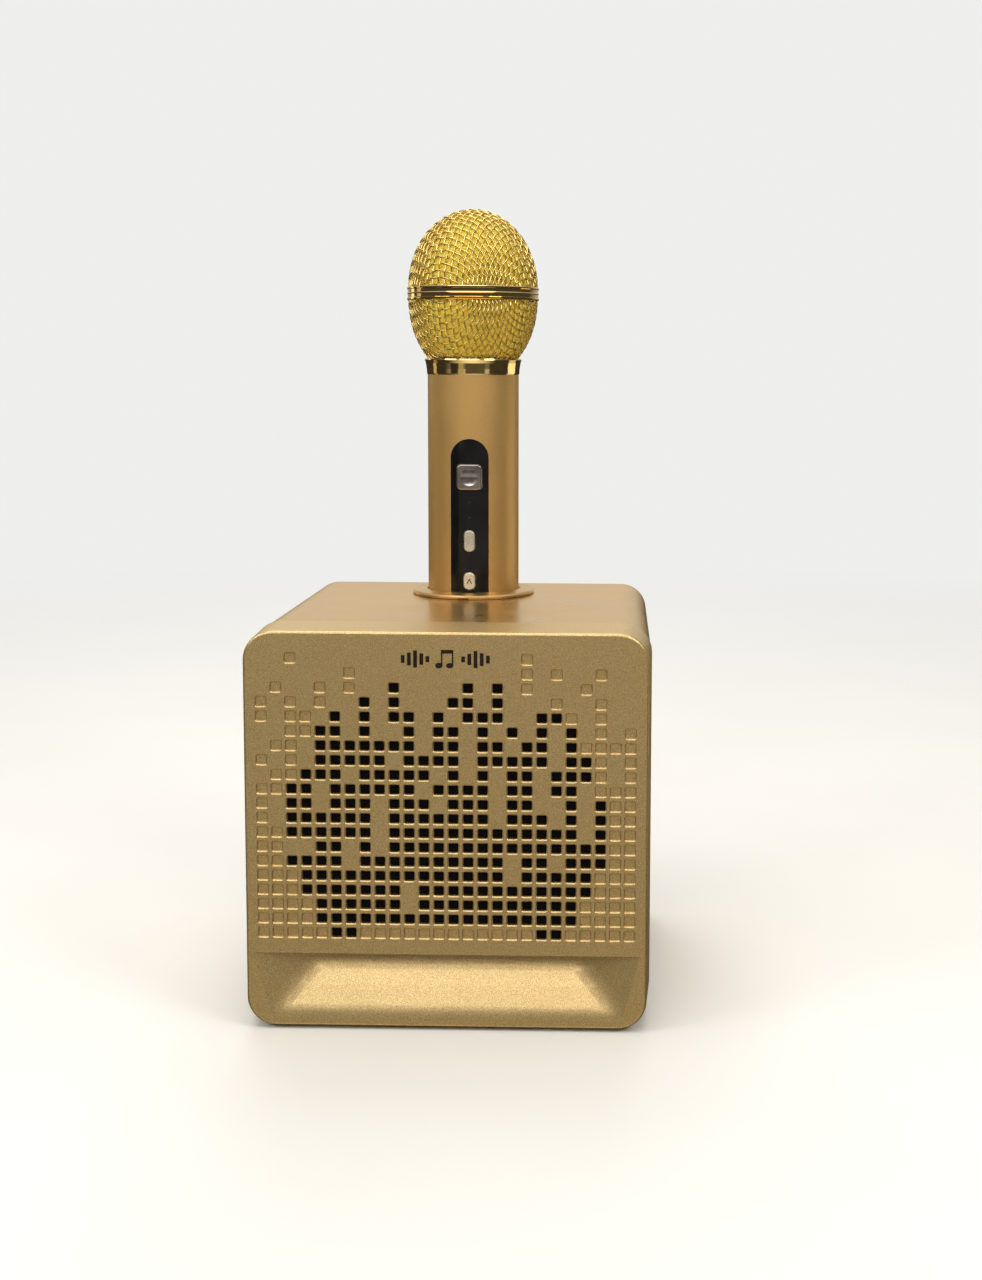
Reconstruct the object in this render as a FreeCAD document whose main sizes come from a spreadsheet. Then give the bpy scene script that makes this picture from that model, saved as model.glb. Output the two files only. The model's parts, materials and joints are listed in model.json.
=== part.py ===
"""Karaoke set: a cube speaker box with a cordless microphone standing in a dock on its top.

Millimetres, +Z up.  The origin is the centre of the resting plane under the feet; the speaker
faces -Y, and the microphone's axis is upright, behind the middle of the box.
"""
import FreeCAD
import Part
import os
import Sketcher
from FreeCAD import Placement, Rotation, Vector

doc = FreeCAD.newDocument("karaoke_set")

# ---------------------------------------------------------------- driving dimensions
DIMENSIONS = [
    # speaker box
    ("box_wide", 164.4, "front face, left to right"),
    ("box_high", 164.4, "front face, bottom to top"),
    ("box_deep", 164.0, "front face to rear rim"),
    ("foot_rise", 1.5, "feet below the box"),
    ("wall", 3.0, "shell wall"),
    ("corner_r", 12.0, "rounding of the long box edges"),
    ("cap_deep", 29.0, "front cap, front face to parting line"),
    ("cap_flare", 1.3, "cap side draft over its depth"),
    ("cap_edge_r", 1.1, "rounding of the cap's front edge"),
    ("panel", 2.6, "front panel thickness"),
    ("parting", 0.35, "shell set in from the cap at the parting line"),
    ("side_taper", 1.1, "shell sides draw in towards the rear"),
    # square holes and dimples of the front
    ("hole_pitch", 6.0, "hole grid pitch"),
    ("hole_wide", 4.0, "square hole"),
    ("hole_corner", 0.55, "hole corner radius"),
    ("hole_mouth", 0.45, "bevel round each hole"),
    ("dimple_deep", 0.9, "blind squares"),
    ("first_row", 10.89, "box top down to the first row"),
    # hollow along the foot of the front
    ("step_high", 30.9, "overhanging lower edge of the panel"),
    ("scoop_deep", 9.0, "hollow depth under the step"),
    ("scoop_back", 26.0, "foot of the hollow's upright back"),
    ("scoop_crease", 16.2, "crease across the sloping floor"),
    ("scoop_crease_in", 4.6, "crease behind the front plane"),
    ("scoop_low", 6.6, "where the floor starts to roll into the front plane"),
    ("scoop_back_r", 20.0, "bend from the upright back into the floor"),
    ("scoop_lip_r", 20.0, "roll of the floor into the front plane"),
    ("scoop_half", 79.6, "half width at the step"),
    ("scoop_foot_half", 71.0, "half width at its lower edge"),
    ("scoop_floor_half", 55.0, "half width at its deepest line"),
    ("hip_r", 18.0, "rounding where the hollow's ends meet its floor"),
    # loudspeaker
    ("driver_z", 93.5, "loudspeaker axis height"),
    ("baffle_y", -69.5, "front of the baffle board"),
    ("baffle", 6.0, "baffle board thickness"),
    ("frame_r", 58.0, "loudspeaker frame"),
    ("cone_r", 41.0, "cone, outer"),
    ("surround_r", 49.5, "rubber surround, outer"),
    ("coil_r", 13.4, "voice coil, outer"),
    ("magnet_r", 35.0, "magnet"),
    # dock and microphone
    ("dock_y", 45.5, "microphone axis behind the box centre"),
    ("dock_bore", 21.6, "dock bore radius"),
    ("dock_wall_r", 24.6, "dock tube outer radius"),
    ("dock_deep", 61.2, "dock tube below the box top"),
    ("flange_r", 28.4, "ring round the microphone"),
    ("key_half", 3.4, "key groove for the buttons, half width"),
    ("handle_r", 21.1, "microphone handle radius"),
    ("handle_wall", 2.0, "handle wall"),
    ("tail_z", 107.4, "microphone's lower end"),
    ("collar_z", 267.8, "collar ring, lower edge"),
    ("basket_z", 275.0, "woven basket, lower edge"),
    ("band_z", 301.8, "polished band, lower edge"),
    ("band_high", 6.0, "polished band height"),
    ("band_r", 30.5, "polished band radius"),
    ("head_r", 30.0, "woven head radius"),
    ("dome_high", 35.9, "woven dome above the band"),
    ("basket_high", 37.5, "half axis of the lower basket"),
    ("mesh", 1.3, "woven wire, total thickness"),
    ("strip_half", 8.7, "control strip, half width"),
    ("strip_top", 238.7, "control strip, upper end"),
    ("strip_low", 122.0, "control strip, lower end"),
    ("strip_r", 21.25, "control strip outer radius"),
    ("button_proud", 0.95, "microphone buttons beyond the strip"),
    # rear panel
    ("rear_plate", 3.5, "rear cover thickness"),
    ("tray_deep", 8.0, "recess of the control panel"),
    ("tray_half", 66.0, "control recess half width"),
    ("tray_low", 66.0, "control recess lower edge"),
    ("tray_high", 104.0, "control recess upper edge"),
    ("tray_wall", 2.5, "control recess wall"),
    ("panel_gap", 0.1, "control panel to its window"),
    ("knob_r", 7.5, "rotary knob radius"),
    ("knob_high", 6.9, "rotary knob height"),
    ("shaft_r", 3.0, "potentiometer shaft radius"),
    ("shaft_gap", 0.06, "shaft running clearance"),
    ("gap", 0.3, "clearance round a moving button"),
    ("screw_r", 1.5, "rear screw shank radius"),
    ("passive_z", 35.0, "passive radiator centre height"),
    ("passive_half", 51.5, "passive plate half length"),
    ("passive_r", 18.5, "passive plate half height"),
]

sheet = doc.addObject("Spreadsheet::Sheet", "sheet")
for row, (name, number, note) in enumerate(DIMENSIONS, start=1):
    sheet.set(f"A{row}", name)
    sheet.set(f"B{row}", str(number))
    sheet.set(f"C{row}", note)
    sheet.setAlias(f"B{row}", name)
doc.recompute()


class Size:
    """A length that carries both its number and the sheet expression it comes from."""

    def __init__(self, number, text=None):
        self.number = float(number)
        self.text = text or repr(float(number))

    def __add__(self, other):
        other = as_size(other)
        return Size(self.number + other.number, f"({self.text} + {other.text})")

    def __sub__(self, other):
        other = as_size(other)
        return Size(self.number - other.number, f"({self.text} - {other.text})")

    def __mul__(self, other):
        other = as_size(other)
        return Size(self.number * other.number, f"({self.text} * {other.text})")

    def __truediv__(self, other):
        other = as_size(other)
        return Size(self.number / other.number, f"({self.text} / {other.text})")

    def __neg__(self):
        return Size(-self.number, f"(0 - {self.text})")

    def __radd__(self, other):
        return as_size(other) + self

    def __rsub__(self, other):
        return as_size(other) - self

    def __rmul__(self, other):
        return as_size(other) * self

    def __float__(self):
        return self.number


def as_size(value):
    return value if isinstance(value, Size) else Size(value)


class Sheet:
    """Every alias of the spreadsheet as a Size, read as an attribute."""

    def __getattr__(self, alias):
        return Size(sheet.get(alias), f"sheet.{alias}")


D = Sheet()

BOX_TOP = D.foot_rise + D.box_high
FRONT = -D.box_deep / 2
REAR = D.box_deep / 2
SEAM = FRONT + D.cap_deep
SUBPARTS = []


# ---------------------------------------------------------------- document helpers
def bind(thing, prop, size):
    """Drive a property from the sheet."""
    size = as_size(size)
    thing.setExpression(prop, size.text)


def subpart(thing, name):
    """Name a finished sub-part; the name is also its file's."""
    thing.Label = name
    SUBPARTS.append(thing)
    return thing


def move(thing, x=0, y=0, z=0, rotation=None):
    """Place a thing, with the position bound to the sheet."""
    if rotation:
        thing.Placement = Placement(Vector(0, 0, 0), rotation)
    for axis, value in zip("xyz", (x, y, z)):
        bind(thing, f".Placement.Base.{axis}", value)
    return thing


TO_FRONT = Rotation(Vector(1, 0, 0), 90)
TO_REAR = Rotation(Vector(1, 0, 0), -90)
ACROSS_X = Rotation(Vector(0, 1, 0), 90)


def box(name, x, y, z):
    """A block between three (low, high) pairs."""
    block = doc.addObject("Part::Box", name)
    for prop, (low, high) in zip(("Length", "Width", "Height"), (x, y, z)):
        bind(block, prop, as_size(high) - low)
    return move(block, x[0], y[0], z[0])


def cylinder(name, radius, low, high, rotation=None, x=0, y=0, z=0):
    """A round bar from low to high along its own axis, then placed."""
    bar = doc.addObject("Part::Cylinder", name)
    bind(bar, "Radius", radius)
    bind(bar, "Height", as_size(high) - low)
    if rotation is TO_FRONT:
        return move(bar, x, as_size(y) - low, z, rotation)
    if rotation is TO_REAR:
        return move(bar, x, as_size(y) + low, z, rotation)
    if rotation is ACROSS_X:
        return move(bar, as_size(x) + low, y, z, rotation)
    return move(bar, x, y, as_size(z) + low)


def join(name, *things):
    fused = doc.addObject("Part::MultiFuse", name)
    fused.Shapes = list(things)
    fused.Refine = True
    return fused


def cut(name, base, *tools):
    tool = tools[0] if len(tools) == 1 else join(name + "_tools", *tools)
    result = doc.addObject("Part::Cut", name)
    result.Base = base
    result.Tool = tool
    return result


def common(name, first, second):
    result = doc.addObject("Part::MultiCommon", name)
    result.Shapes = [first, second]
    return result


def eased(name, base, radius, test):
    """Round the edges of a shape that pass a test."""
    doc.recompute()
    radius = float(as_size(radius))
    soft = doc.addObject("Part::Fillet", name)
    soft.Base = base
    soft.Edges = [(index, radius, radius)
                  for index, edge in enumerate(base.Shape.Edges, start=1) if test(edge)]
    return soft


def tube(name, outer, inner, low, high, rotation=None, x=0, y=0, z=0):
    return cut(name,
               cylinder(name + "_outer", outer, low, high, rotation, x, y, z),
               cylinder(name + "_inner", inner, as_size(low) - 1, as_size(high) + 1, rotation, x, y, z))


def body(name):
    return doc.addObject("PartDesign::Body", name)


def sketch(owner, role, offset=None):
    """A sketch on one of the body's own origin planes, shifted along its normal."""
    plane = next(item for item in owner.Origin.OriginFeatures if item.Role == role)
    drawing = owner.newObject("Sketcher::SketchObject", owner.Name + "_sketch")
    drawing.AttachmentSupport = (plane, [""])
    drawing.MapMode = "FlatFace"
    if offset is not None:
        bind(drawing, ".AttachmentOffset.Base.z", offset)
    return drawing


def pin_point(drawing, line, across, up):
    """Fix a line's start point by its two distances from the sketch origin."""
    for kind, value, axis in (("DistanceX", as_size(across), -2), ("DistanceY", as_size(up), -1)):
        if abs(value.number) < 1e-9:
            drawing.addConstraint(Sketcher.Constraint("PointOnObject", line, 1, axis))
            continue
        if value.number > 0:
            index = drawing.addConstraint(Sketcher.Constraint(kind, -1, 1, line, 1, value.number))
        else:
            value = -value
            index = drawing.addConstraint(Sketcher.Constraint(kind, line, 1, -1, 1, value.number))
        drawing.setExpression(f"Constraints[{index}]", value.text)


def outline(drawing, corners):
    """A closed outline through corners given as pairs of sizes."""
    points = [Vector(float(as_size(a)), float(as_size(b)), 0) for a, b in corners]
    count = len(points)
    for index in range(count):
        drawing.addGeometry(Part.LineSegment(points[index], points[(index + 1) % count]), False)
    for index in range(count):
        drawing.addConstraint(Sketcher.Constraint("Coincident", index, 2, (index + 1) % count, 1))
    for index, (across, up) in enumerate(corners):
        pin_point(drawing, index, across, up)
    return drawing


def circle(drawing, radius, across=0, up=0):
    """A circle with its radius bound to the sheet."""
    centre = Vector(float(as_size(across)), float(as_size(up)), 0)
    index = drawing.addGeometry(Part.Circle(centre, Vector(0, 0, 1), float(as_size(radius))), False)
    number = drawing.addConstraint(Sketcher.Constraint("Radius", index, float(as_size(radius))))
    drawing.setExpression(f"Constraints[{number}]", as_size(radius).text)
    for kind, value, axis in (("DistanceX", as_size(across), -2), ("DistanceY", as_size(up), -1)):
        if abs(value.number) < 1e-9:
            drawing.addConstraint(Sketcher.Constraint("PointOnObject", index, 3, axis))
        elif value.number > 0:
            drawing.addConstraint(Sketcher.Constraint(kind, -1, 1, index, 3, value.number))
        else:
            drawing.addConstraint(Sketcher.Constraint(kind, index, 3, -1, 1, -value.number))
    return drawing


def revolved(name, corners):
    """A solid of revolution about Z from (radius, height) corners."""
    solid = body(name)
    profile = outline(sketch(solid, "XZ_Plane"), corners)
    turn = solid.newObject("PartDesign::Revolution", name + "_turn")
    turn.Profile = profile
    turn.ReferenceAxis = (profile, ["V_Axis"])
    turn.Angle = 360
    return solid


def padded(name, corners, height, offset=None):
    """A prism along Z on an outline in the XY plane."""
    solid = body(name)
    profile = outline(sketch(solid, "XY_Plane", offset), corners)
    pad = solid.newObject("PartDesign::Pad", name + "_pad")
    pad.Profile = profile
    bind(pad, "Length", height)
    return solid


def edges_where(shape, test):
    """Names of the edges whose ends pass a test."""
    names = []
    for index, edge in enumerate(shape.Edges, start=1):
        ends = [vertex.Point for vertex in edge.Vertexes]
        if len(ends) == 2 and test(edge, *ends):
            names.append(f"Edge{index}")
    return names


def dressed(solid, kind, size, test):
    """Add a Fillet or Chamfer to a body's tip, on the edges that pass a test."""
    doc.recompute()
    tip = solid.Tip
    feature = solid.newObject("PartDesign::" + kind, f"{solid.Name}_{kind.lower()}")
    feature.Base = (tip, edges_where(tip.Shape, test))
    bind(feature, "Radius" if kind == "Fillet" else "Size", size)
    solid.Tip = feature
    doc.recompute()
    return solid


def upright(_edge, start, end):
    """An edge along the body's own Z."""
    return abs(start.x - end.x) < 1e-6 and abs(start.y - end.y) < 1e-6


def at_height(height):
    """Edges lying in the plane at one height of the body."""
    level = float(as_size(height))

    def test(_edge, start, end):
        return abs(start.z - level) < 1e-4 and abs(end.z - level) < 1e-4
    return test


def rounded_prism(name, half_wide, half_high, radius, height, x=0, y=0, z=0, offset=None):
    """A prism along Z with a rounded rectangular outline centred on (x, y)."""
    half_wide = as_size(half_wide)
    half_high = as_size(half_high)
    x = as_size(x)
    y = as_size(y)
    corners = [(x - half_wide, y - half_high), (x + half_wide, y - half_high),
               (x + half_wide, y + half_high), (x - half_wide, y + half_high)]
    return dressed(padded(name, corners, height, offset), "Fillet", radius, upright)


def drafted_block(name, front, rear, radius):
    """A block along Y between two (half width, low z, high z, y) ends, long edges rounded."""
    solid = body(name)
    wedge = solid.newObject("PartDesign::AdditiveWedge", name + "_wedge")
    half_wide, low, high, place = front
    rear_half, rear_low, rear_high, rear_place = rear
    limits = {"Xmin": -as_size(half_wide), "Xmax": half_wide, "Zmin": low, "Zmax": high, "Ymin": place,
              "X2min": -as_size(rear_half), "X2max": rear_half, "Z2min": rear_low, "Z2max": rear_high,
              "Ymax": rear_place}
    for prop in ("Xmax", "Ymax", "Zmax", "X2max", "Z2max", "Xmin", "Ymin", "Zmin", "X2min", "Z2min"):
        bind(wedge, prop, limits[prop])

    def runs_back(_edge, start, end):
        return abs(start.y - end.y) > 1
    return dressed(solid, "Fillet", radius, runs_back)


# ---------------------------------------------------------------- front cap
# One row of text per row of the front, top row first: # goes through, o is a blind square.
FRONT_PATTERN = """
..o...............o.......
......o...........o.o..o..
.o..o.o..#....#.#.o...o...
o.o.o..#.#...##.#...o..o..
o.oo.#.#.##.#.###..##o.o..
..oo##.#..#.##.#.#.#.#.o.o
.oo.#######.##.##.##.#oooo
o.o.#####.####.#####.##o.o
.oo###.#####.#.#.##.###o.o
oo##.######.####.##.##.ooo
o.##.###.###.###.##..#.#oo
o.######.#######.###.#.#oo
oo######.#############.#oo
oo..##.#.###############oo
oo####.##########.##.###oo
ooo##############.#####ooo
ooo#######.############ooo
oooo######.###########oooo
oooo##################oooo
ooooo##oooooooooooo##ooooo
""".split()


def square_wire(side, radius, y):
    """A square with rounded corners, facing -Y."""
    half = side / 2
    flat = half - radius
    bulge = half - radius * (1 - 0.5 ** 0.5)
    wire = []
    for turn in range(4):
        spin = Rotation(Vector(0, 1, 0), 90 * turn)
        line = [spin.multVec(Vector(a, y, b)) for a, b in ((-flat, half), (flat, half))]
        arc = [spin.multVec(Vector(a, y, b)) for a, b in ((flat, half), (bulge, bulge), (half, flat))]
        wire.append(Part.LineSegment(*line).toShape())
        wire.append(Part.Arc(*arc).toShape())
    return Part.Wire(wire)


def square_tool(deep):
    """The space of one square hole with its bevelled mouth at y = 0."""
    side = float(D.hole_wide)
    radius = float(D.hole_corner)
    mouth = float(D.hole_mouth)
    lead = 0.1
    funnel = Part.makeLoft([square_wire(side + 2 * (mouth + lead), radius + mouth + lead, -lead),
                            square_wire(side, radius, mouth)], True, True)
    shaft = Part.Face(square_wire(side, radius, mouth)).extrude(Vector(0, deep - mouth, 0))
    return funnel.fuse(shaft).removeSplitter()


def hole_tools():
    """All squares of the front as one compound."""
    through = square_tool(float(D.panel) + 0.4)
    blind = square_tool(float(D.dimple_deep))
    pitch = float(D.hole_pitch)
    top = float(BOX_TOP - D.first_row)
    squares = []
    for row, marks in enumerate(FRONT_PATTERN):
        middle = (len(marks) - 1) / 2
        for column, mark in enumerate(marks):
            if mark == ".":
                continue
            square = (through if mark == "#" else blind).copy()
            square.translate(Vector((column - middle) * pitch, float(FRONT), top - row * pitch))
            squares.append(square)
    tools = doc.addObject("Part::Feature", "square_tools")
    tools.Shape = Part.makeCompound(squares)
    return tools


def scoop_tool():
    """The hollow under the panel: a sloping floor between two softly hipped ends."""
    base = D.foot_rise
    step = base + D.step_high
    deep = FRONT + D.scoop_deep
    prism = body("scoop_prism")
    corners = [(FRONT - 2, step), (deep, step), (deep, base + D.scoop_back),
               (FRONT + D.scoop_crease_in, base + D.scoop_crease), (FRONT + 0.55, base + D.scoop_low),
               (FRONT - 0.15, base + D.scoop_low - 4), (FRONT - 2, base + D.scoop_low - 5.6)]
    profile = outline(sketch(prism, "YZ_Plane"), corners)
    pad = prism.newObject("PartDesign::Pad", "scoop_pad")
    pad.Profile = profile
    pad.Midplane = True
    bind(pad, "Length", D.scoop_half * 2 + 16)

    def runs_at(distance, height):
        """Edges across the hollow at one depth and height."""
        def test(_edge, start, end):
            level = abs(start.y - end.y) < 1e-4 and abs(start.z - float(base + height)) < 0.01
            return level and abs(start.y - float(FRONT + distance)) < 0.01
        return test
    dressed(prism, "Fillet", D.scoop_back_r, runs_at(D.scoop_deep, D.scoop_back))
    dressed(prism, "Fillet", D.scoop_lip_r, runs_at(0.55, D.scoop_low))
    hopper = body("scoop_hopper")
    ends = []
    lean = D.scoop_half - D.scoop_foot_half
    for place, top_half in ((FRONT - 2, D.scoop_half + 5.6), (deep + 1, D.scoop_floor_half - 3)):
        low_half = top_half - lean
        shape = [(-low_half, base), (low_half, base), (top_half, step + 0.5), (-top_half, step + 0.5)]
        ends.append(outline(sketch(hopper, "XZ_Plane", -place), shape))
    loft = hopper.newObject("PartDesign::AdditiveLoft", "scoop_loft")
    loft.Profile = ends[0]
    loft.Sections = [ends[1]]
    loft.Ruled = True
    space = common("scoop_space", prism, hopper)

    def hip(edge):
        """Where an end meets the floor: neither level nor in an outer face of the space."""
        ends_at = [vertex.Point for vertex in edge.Vertexes]
        aside = all(abs(point.x) > 40 for point in ends_at)
        inside = max(point.y for point in ends_at) > float(FRONT)
        return aside and inside and abs(ends_at[0].z - ends_at[-1].z) > 0.5
    return eased("scoop_soft", space, D.hip_r, hip)


def front_cap():
    half = D.box_wide / 2
    low = D.foot_rise
    outer = drafted_block("cap_outer", (half, low, BOX_TOP, FRONT),
                          (half + D.cap_flare, low, BOX_TOP, SEAM), D.corner_r)

    def front_rim(_edge, start, end):
        level = float(FRONT)
        return abs(start.y - level) < 1e-4 and abs(end.y - level) < 1e-4
    dressed(outer, "Fillet", D.cap_edge_r, front_rim)
    inner = drafted_block("cap_inner",
                          (half - D.panel, low + D.panel, BOX_TOP - D.panel, FRONT + D.panel),
                          (half + D.cap_flare - D.panel, low + D.panel, BOX_TOP - D.panel, SEAM + 1),
                          D.corner_r - D.panel)
    chin = common("cap_chin", outer,
                  box("chin_block", (-half, half), (FRONT + D.panel - 0.5, FRONT + D.scoop_deep + D.panel),
                      (low, low + D.step_high + D.panel)))
    hollow = cut("cap_hollow", outer, inner)
    posts = []
    for side in (-1, 1):
        for height in (D.driver_z - 51, D.driver_z + 51):
            posts.append(cylinder("cap_post", 3.4, FRONT + D.panel - 0.5, D.baffle_y, TO_REAR,
                                  72 * side, 0, height))
    solid = join("cap_solid", hollow, chin, *posts)
    scooped = cut("cap_scooped", solid, scoop_tool())
    return subpart(cut("front_cap", scooped, hole_tools()), "front_cap")


def front_mark():
    """A generic printed mark: sound bars either side of a pair of beamed notes."""
    face = FRONT - 0.12
    inside = FRONT
    centre = BOX_TOP - D.first_row
    heights = (2.4, 4.6, 7.0, 5.2, 3.2)
    marks = []
    for side in (-1, 1):
        for index, high in enumerate(heights):
            x = side * (7.2 + 2.5 * index)
            marks.append(box("mark_bar", (x - 0.75, x + 0.75), (face, inside),
                             (centre - high / 2, centre + high / 2)))
    notes = []
    for x in (-2.6, 1.8):
        head = doc.addObject("Part::Ellipse", "note_head")
        head.MajorRadius = 1.5
        head.MinorRadius = 1.1
        disc = doc.addObject("Part::Extrusion", "note_disc")
        disc.Base = head
        disc.Dir = Vector(0, 0, 1)
        disc.LengthFwd = 0.2
        disc.Solid = True
        notes.append(move(disc, x, inside, centre - 2.6, TO_FRONT))
        notes.append(box("note_stem", (x + 0.85, x + 1.45), (face, inside), (centre - 2.6, centre + 3.2)))
    notes.append(box("note_beam", (-1.75, 3.25), (face, inside), (centre + 2.3, centre + 3.8)))
    marks.append(join("mark_notes", *notes))
    solid = doc.addObject("Part::Compound", "front_mark")
    solid.Links = marks
    return subpart(solid, "front_mark")


# ---------------------------------------------------------------- main shell
BOARD_Z = 40
BOARD = 1.6


def main_shell():
    half = D.box_wide / 2
    low = D.foot_rise
    inset = D.parting
    rear_half = half - D.side_taper
    outer = drafted_block("shell_outer", (half + D.cap_flare - inset, low, BOX_TOP - inset, SEAM),
                          (rear_half, low, BOX_TOP - inset, REAR), D.corner_r)
    floor = low + D.wall
    roof = BOX_TOP - inset - D.wall
    inner = drafted_block("shell_inner", (half + D.cap_flare - inset - D.wall, floor, roof, SEAM - 1),
                          (rear_half - D.wall, floor, roof, REAR + 1), D.corner_r - D.wall)
    opening = cylinder("shell_dock_hole", D.dock_wall_r + 0.1, BOX_TOP - 12, BOX_TOP + 2, y=D.dock_y)
    hollow = cut("shell_hollow", outer, inner, opening)
    posts = []
    for x in (-42, 42):
        for y in (-14, 38):
            posts.append(cylinder("shell_post", 3.2, floor - 0.5, BOARD_Z, x=x, y=y))
    for x, z in REAR_SCREWS:
        posts.append(cylinder("shell_boss", 4.7, REAR - D.rear_plate - 14, REAR - D.rear_plate - 0.1,
                              TO_REAR, x, 0, z))
    for side in (-1, 1):
        for z in (30, 137):
            posts.append(box("shell_rib", sorted_pair(side * 73, side * 80), (56, 62), (z - 8, z + 8)))
    pilots = [cylinder("shell_pilot", D.screw_r + 0.05, REAR - 15, REAR - D.rear_plate, TO_REAR, x, 0, z)
              for x, z in REAR_SCREWS]
    return subpart(cut("main_shell", join("shell_solid", hollow, *posts), *pilots), "main_shell")


def sorted_pair(first, second):
    return (min(first, second), max(first, second))


REAR_SCREWS = [(x, z) for x in (-73.8, 73.8) for z in (14, 84, 153)]


# ---------------------------------------------------------------- loudspeaker
def baffle_parts():
    holes = [cylinder("baffle_hole", 51.5, D.baffle_y - 1, D.baffle_y + D.baffle + 1, TO_REAR,
                      0, 0, D.driver_z)]
    for x, z in DRIVER_SCREWS:
        holes.append(cylinder("baffle_pilot", 1.85, D.baffle_y - 1, D.baffle_y + D.baffle + 1, TO_REAR,
                              x, 0, D.driver_z + z))
    board = box("baffle_plate", (-77, 77), (D.baffle_y, D.baffle_y + D.baffle),
                (D.driver_z - 55.5, D.driver_z + 58.5))
    subpart(cut("baffle_board", board, *holes), "baffle_board")
    subpart(box("grille_cloth", (-67.5, 67.5), (FRONT + D.panel, FRONT + D.panel + 0.5),
                (D.foot_rise + D.step_high + D.panel + 0.2, D.driver_z + 56)), "grille_cloth")


DRIVER_SCREWS = [(x, y) for x in (-38.32, 38.32) for y in (-38.32, 38.32)]


def driver():
    """Loudspeaker pieces turned about their axis, then laid along -Y."""
    def place(thing, name):
        move(thing, 0, D.baffle_y, D.driver_z, TO_FRONT)
        return subpart(thing, name)
    basket = revolved("basket_turn", [
        (50.2, 3), (D.frame_r, 3), (D.frame_r, 0), (51.2, 0), (51.2, -4), (D.magnet_r - 3, -31.5),
        (D.magnet_r - 3, -34), (15, -34), (15, -32), (D.magnet_r - 6, -32), (49.4, -4), (50.2, 0)])
    windows = []
    for turn in range(4):
        window = doc.addObject("Part::Box", "basket_window")
        bind(window, "Length", 40)
        bind(window, "Width", 44)
        bind(window, "Height", 20)
        spin = Rotation(Vector(0, 0, 1), 90 * turn)
        corner = spin.multVec(Vector(28, -22, 0))
        window.Placement = Placement(Vector(corner.x, corner.y, -29), spin)
        windows.append(window)
    holes = [cylinder("frame_hole", 2.2, -2, 5, x=54.2 * x, y=54.2 * y)
             for x, y in ((0.7071, 0.7071), (-0.7071, 0.7071), (-0.7071, -0.7071), (0.7071, -0.7071))]
    place(cut("driver_basket", basket, *windows, *holes), "driver_basket")
    place(revolved("driver_magnet", [
        (0, -54), (D.magnet_r, -54), (D.magnet_r, -34), (D.coil_r + 0.9, -34), (D.coil_r + 0.9, -50),
        (D.coil_r - 1.9, -50), (D.coil_r - 1.9, -31), (0, -31)]), "driver_magnet")
    place(revolved("driver_cone", [
        (D.coil_r, -17), (D.cone_r, 1.2), (D.cone_r + 0.9, 3.6), (D.cone_r + 2.6, 4.9),
        (D.cone_r + 4.6, 5.3), (D.cone_r + 6.4, 4.7), (D.surround_r - 0.7, 3.2), (D.surround_r, 1.6),
        (D.surround_r, 0.9), (D.surround_r - 1.4, 1.1), (D.cone_r + 6.0, 3.8), (D.cone_r + 4.6, 4.3),
        (D.cone_r + 2.9, 3.9), (D.cone_r + 1.4, 2.4), (D.cone_r + 0.6, 0.1), (D.coil_r + 0.9, -18.4),
        (D.coil_r + 0.9, -21), (D.coil_r, -21)]), "driver_cone")
    place(revolved("dust_cap", [
        (0, -9.2), (5.4, -9.8), (10.2, -11.6), (14.2, -14.6), (15.2, -15.5), (14.4, -15.9),
        (9.6, -12.4), (5.2, -10.7), (0, -10.1)]), "dust_cap")
    place(tube("voice_coil", D.coil_r - 0.05, D.coil_r - 1.1, -46, -17.1), "voice_coil")
    screws = []
    for x, y in DRIVER_SCREWS:
        screws.append(join("driver_screw",
                           cylinder("screw_shank", 1.8, -5, 3.4, x=x, y=y),
                           cylinder("screw_head", 3.4, 3.0, 4.8, x=x, y=y)))
    bundle = doc.addObject("Part::Compound", "driver_screws")
    bundle.Links = screws
    place(bundle, "driver_screws")


# ---------------------------------------------------------------- dock
CONTACTS_X = (-6, 0, 6)


def dock():
    floor = BOX_TOP - D.dock_deep
    bore = cylinder("dock_bore", D.dock_bore, floor + 2, BOX_TOP + 2)
    key = box("dock_key", (-D.key_half, D.key_half), (-D.dock_bore - 1.7, -D.dock_bore + 3),
              (floor + 2, BOX_TOP + 3))
    wall = cylinder("dock_wall", D.dock_wall_r, floor, BOX_TOP - 0.3)
    tube_part = cut("dock_tube", wall, bore, key)
    subpart(move(tube_part, 0, D.dock_y, 0), "dock_tube")
    ring = revolved("flange_turn", [
        (D.dock_bore, BOX_TOP - 0.3), (D.flange_r - 0.4, BOX_TOP - 0.3), (D.flange_r, BOX_TOP + 0.1),
        (D.flange_r, BOX_TOP + 0.9), (D.flange_r - 0.9, BOX_TOP + 1.6), (D.dock_bore + 1.6, BOX_TOP + 2.5),
        (D.dock_bore + 0.6, BOX_TOP + 2.4), (D.dock_bore, BOX_TOP + 1.8)])
    notch = box("flange_key", (-D.key_half, D.key_half), (-D.dock_bore - 1.7, -D.dock_bore + 3),
                (BOX_TOP - 2, BOX_TOP + 4))
    nail_slot = box("flange_slot", (-4.5, 0.3), (-D.flange_r - 1, -D.flange_r + 3.5),
                    (BOX_TOP - 1, BOX_TOP + 0.85))
    subpart(move(cut("dock_flange", ring, notch, nail_slot), 0, D.dock_y, 0), "dock_flange")
    pads = doc.addObject("Part::Compound", "dock_contacts")
    pads.Links = [cylinder("dock_pad", 1.6, floor + 2, D.tail_z - 0.2, x=x) for x in CONTACTS_X]
    subpart(move(pads, 0, D.dock_y, 0), "dock_contacts")


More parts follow.
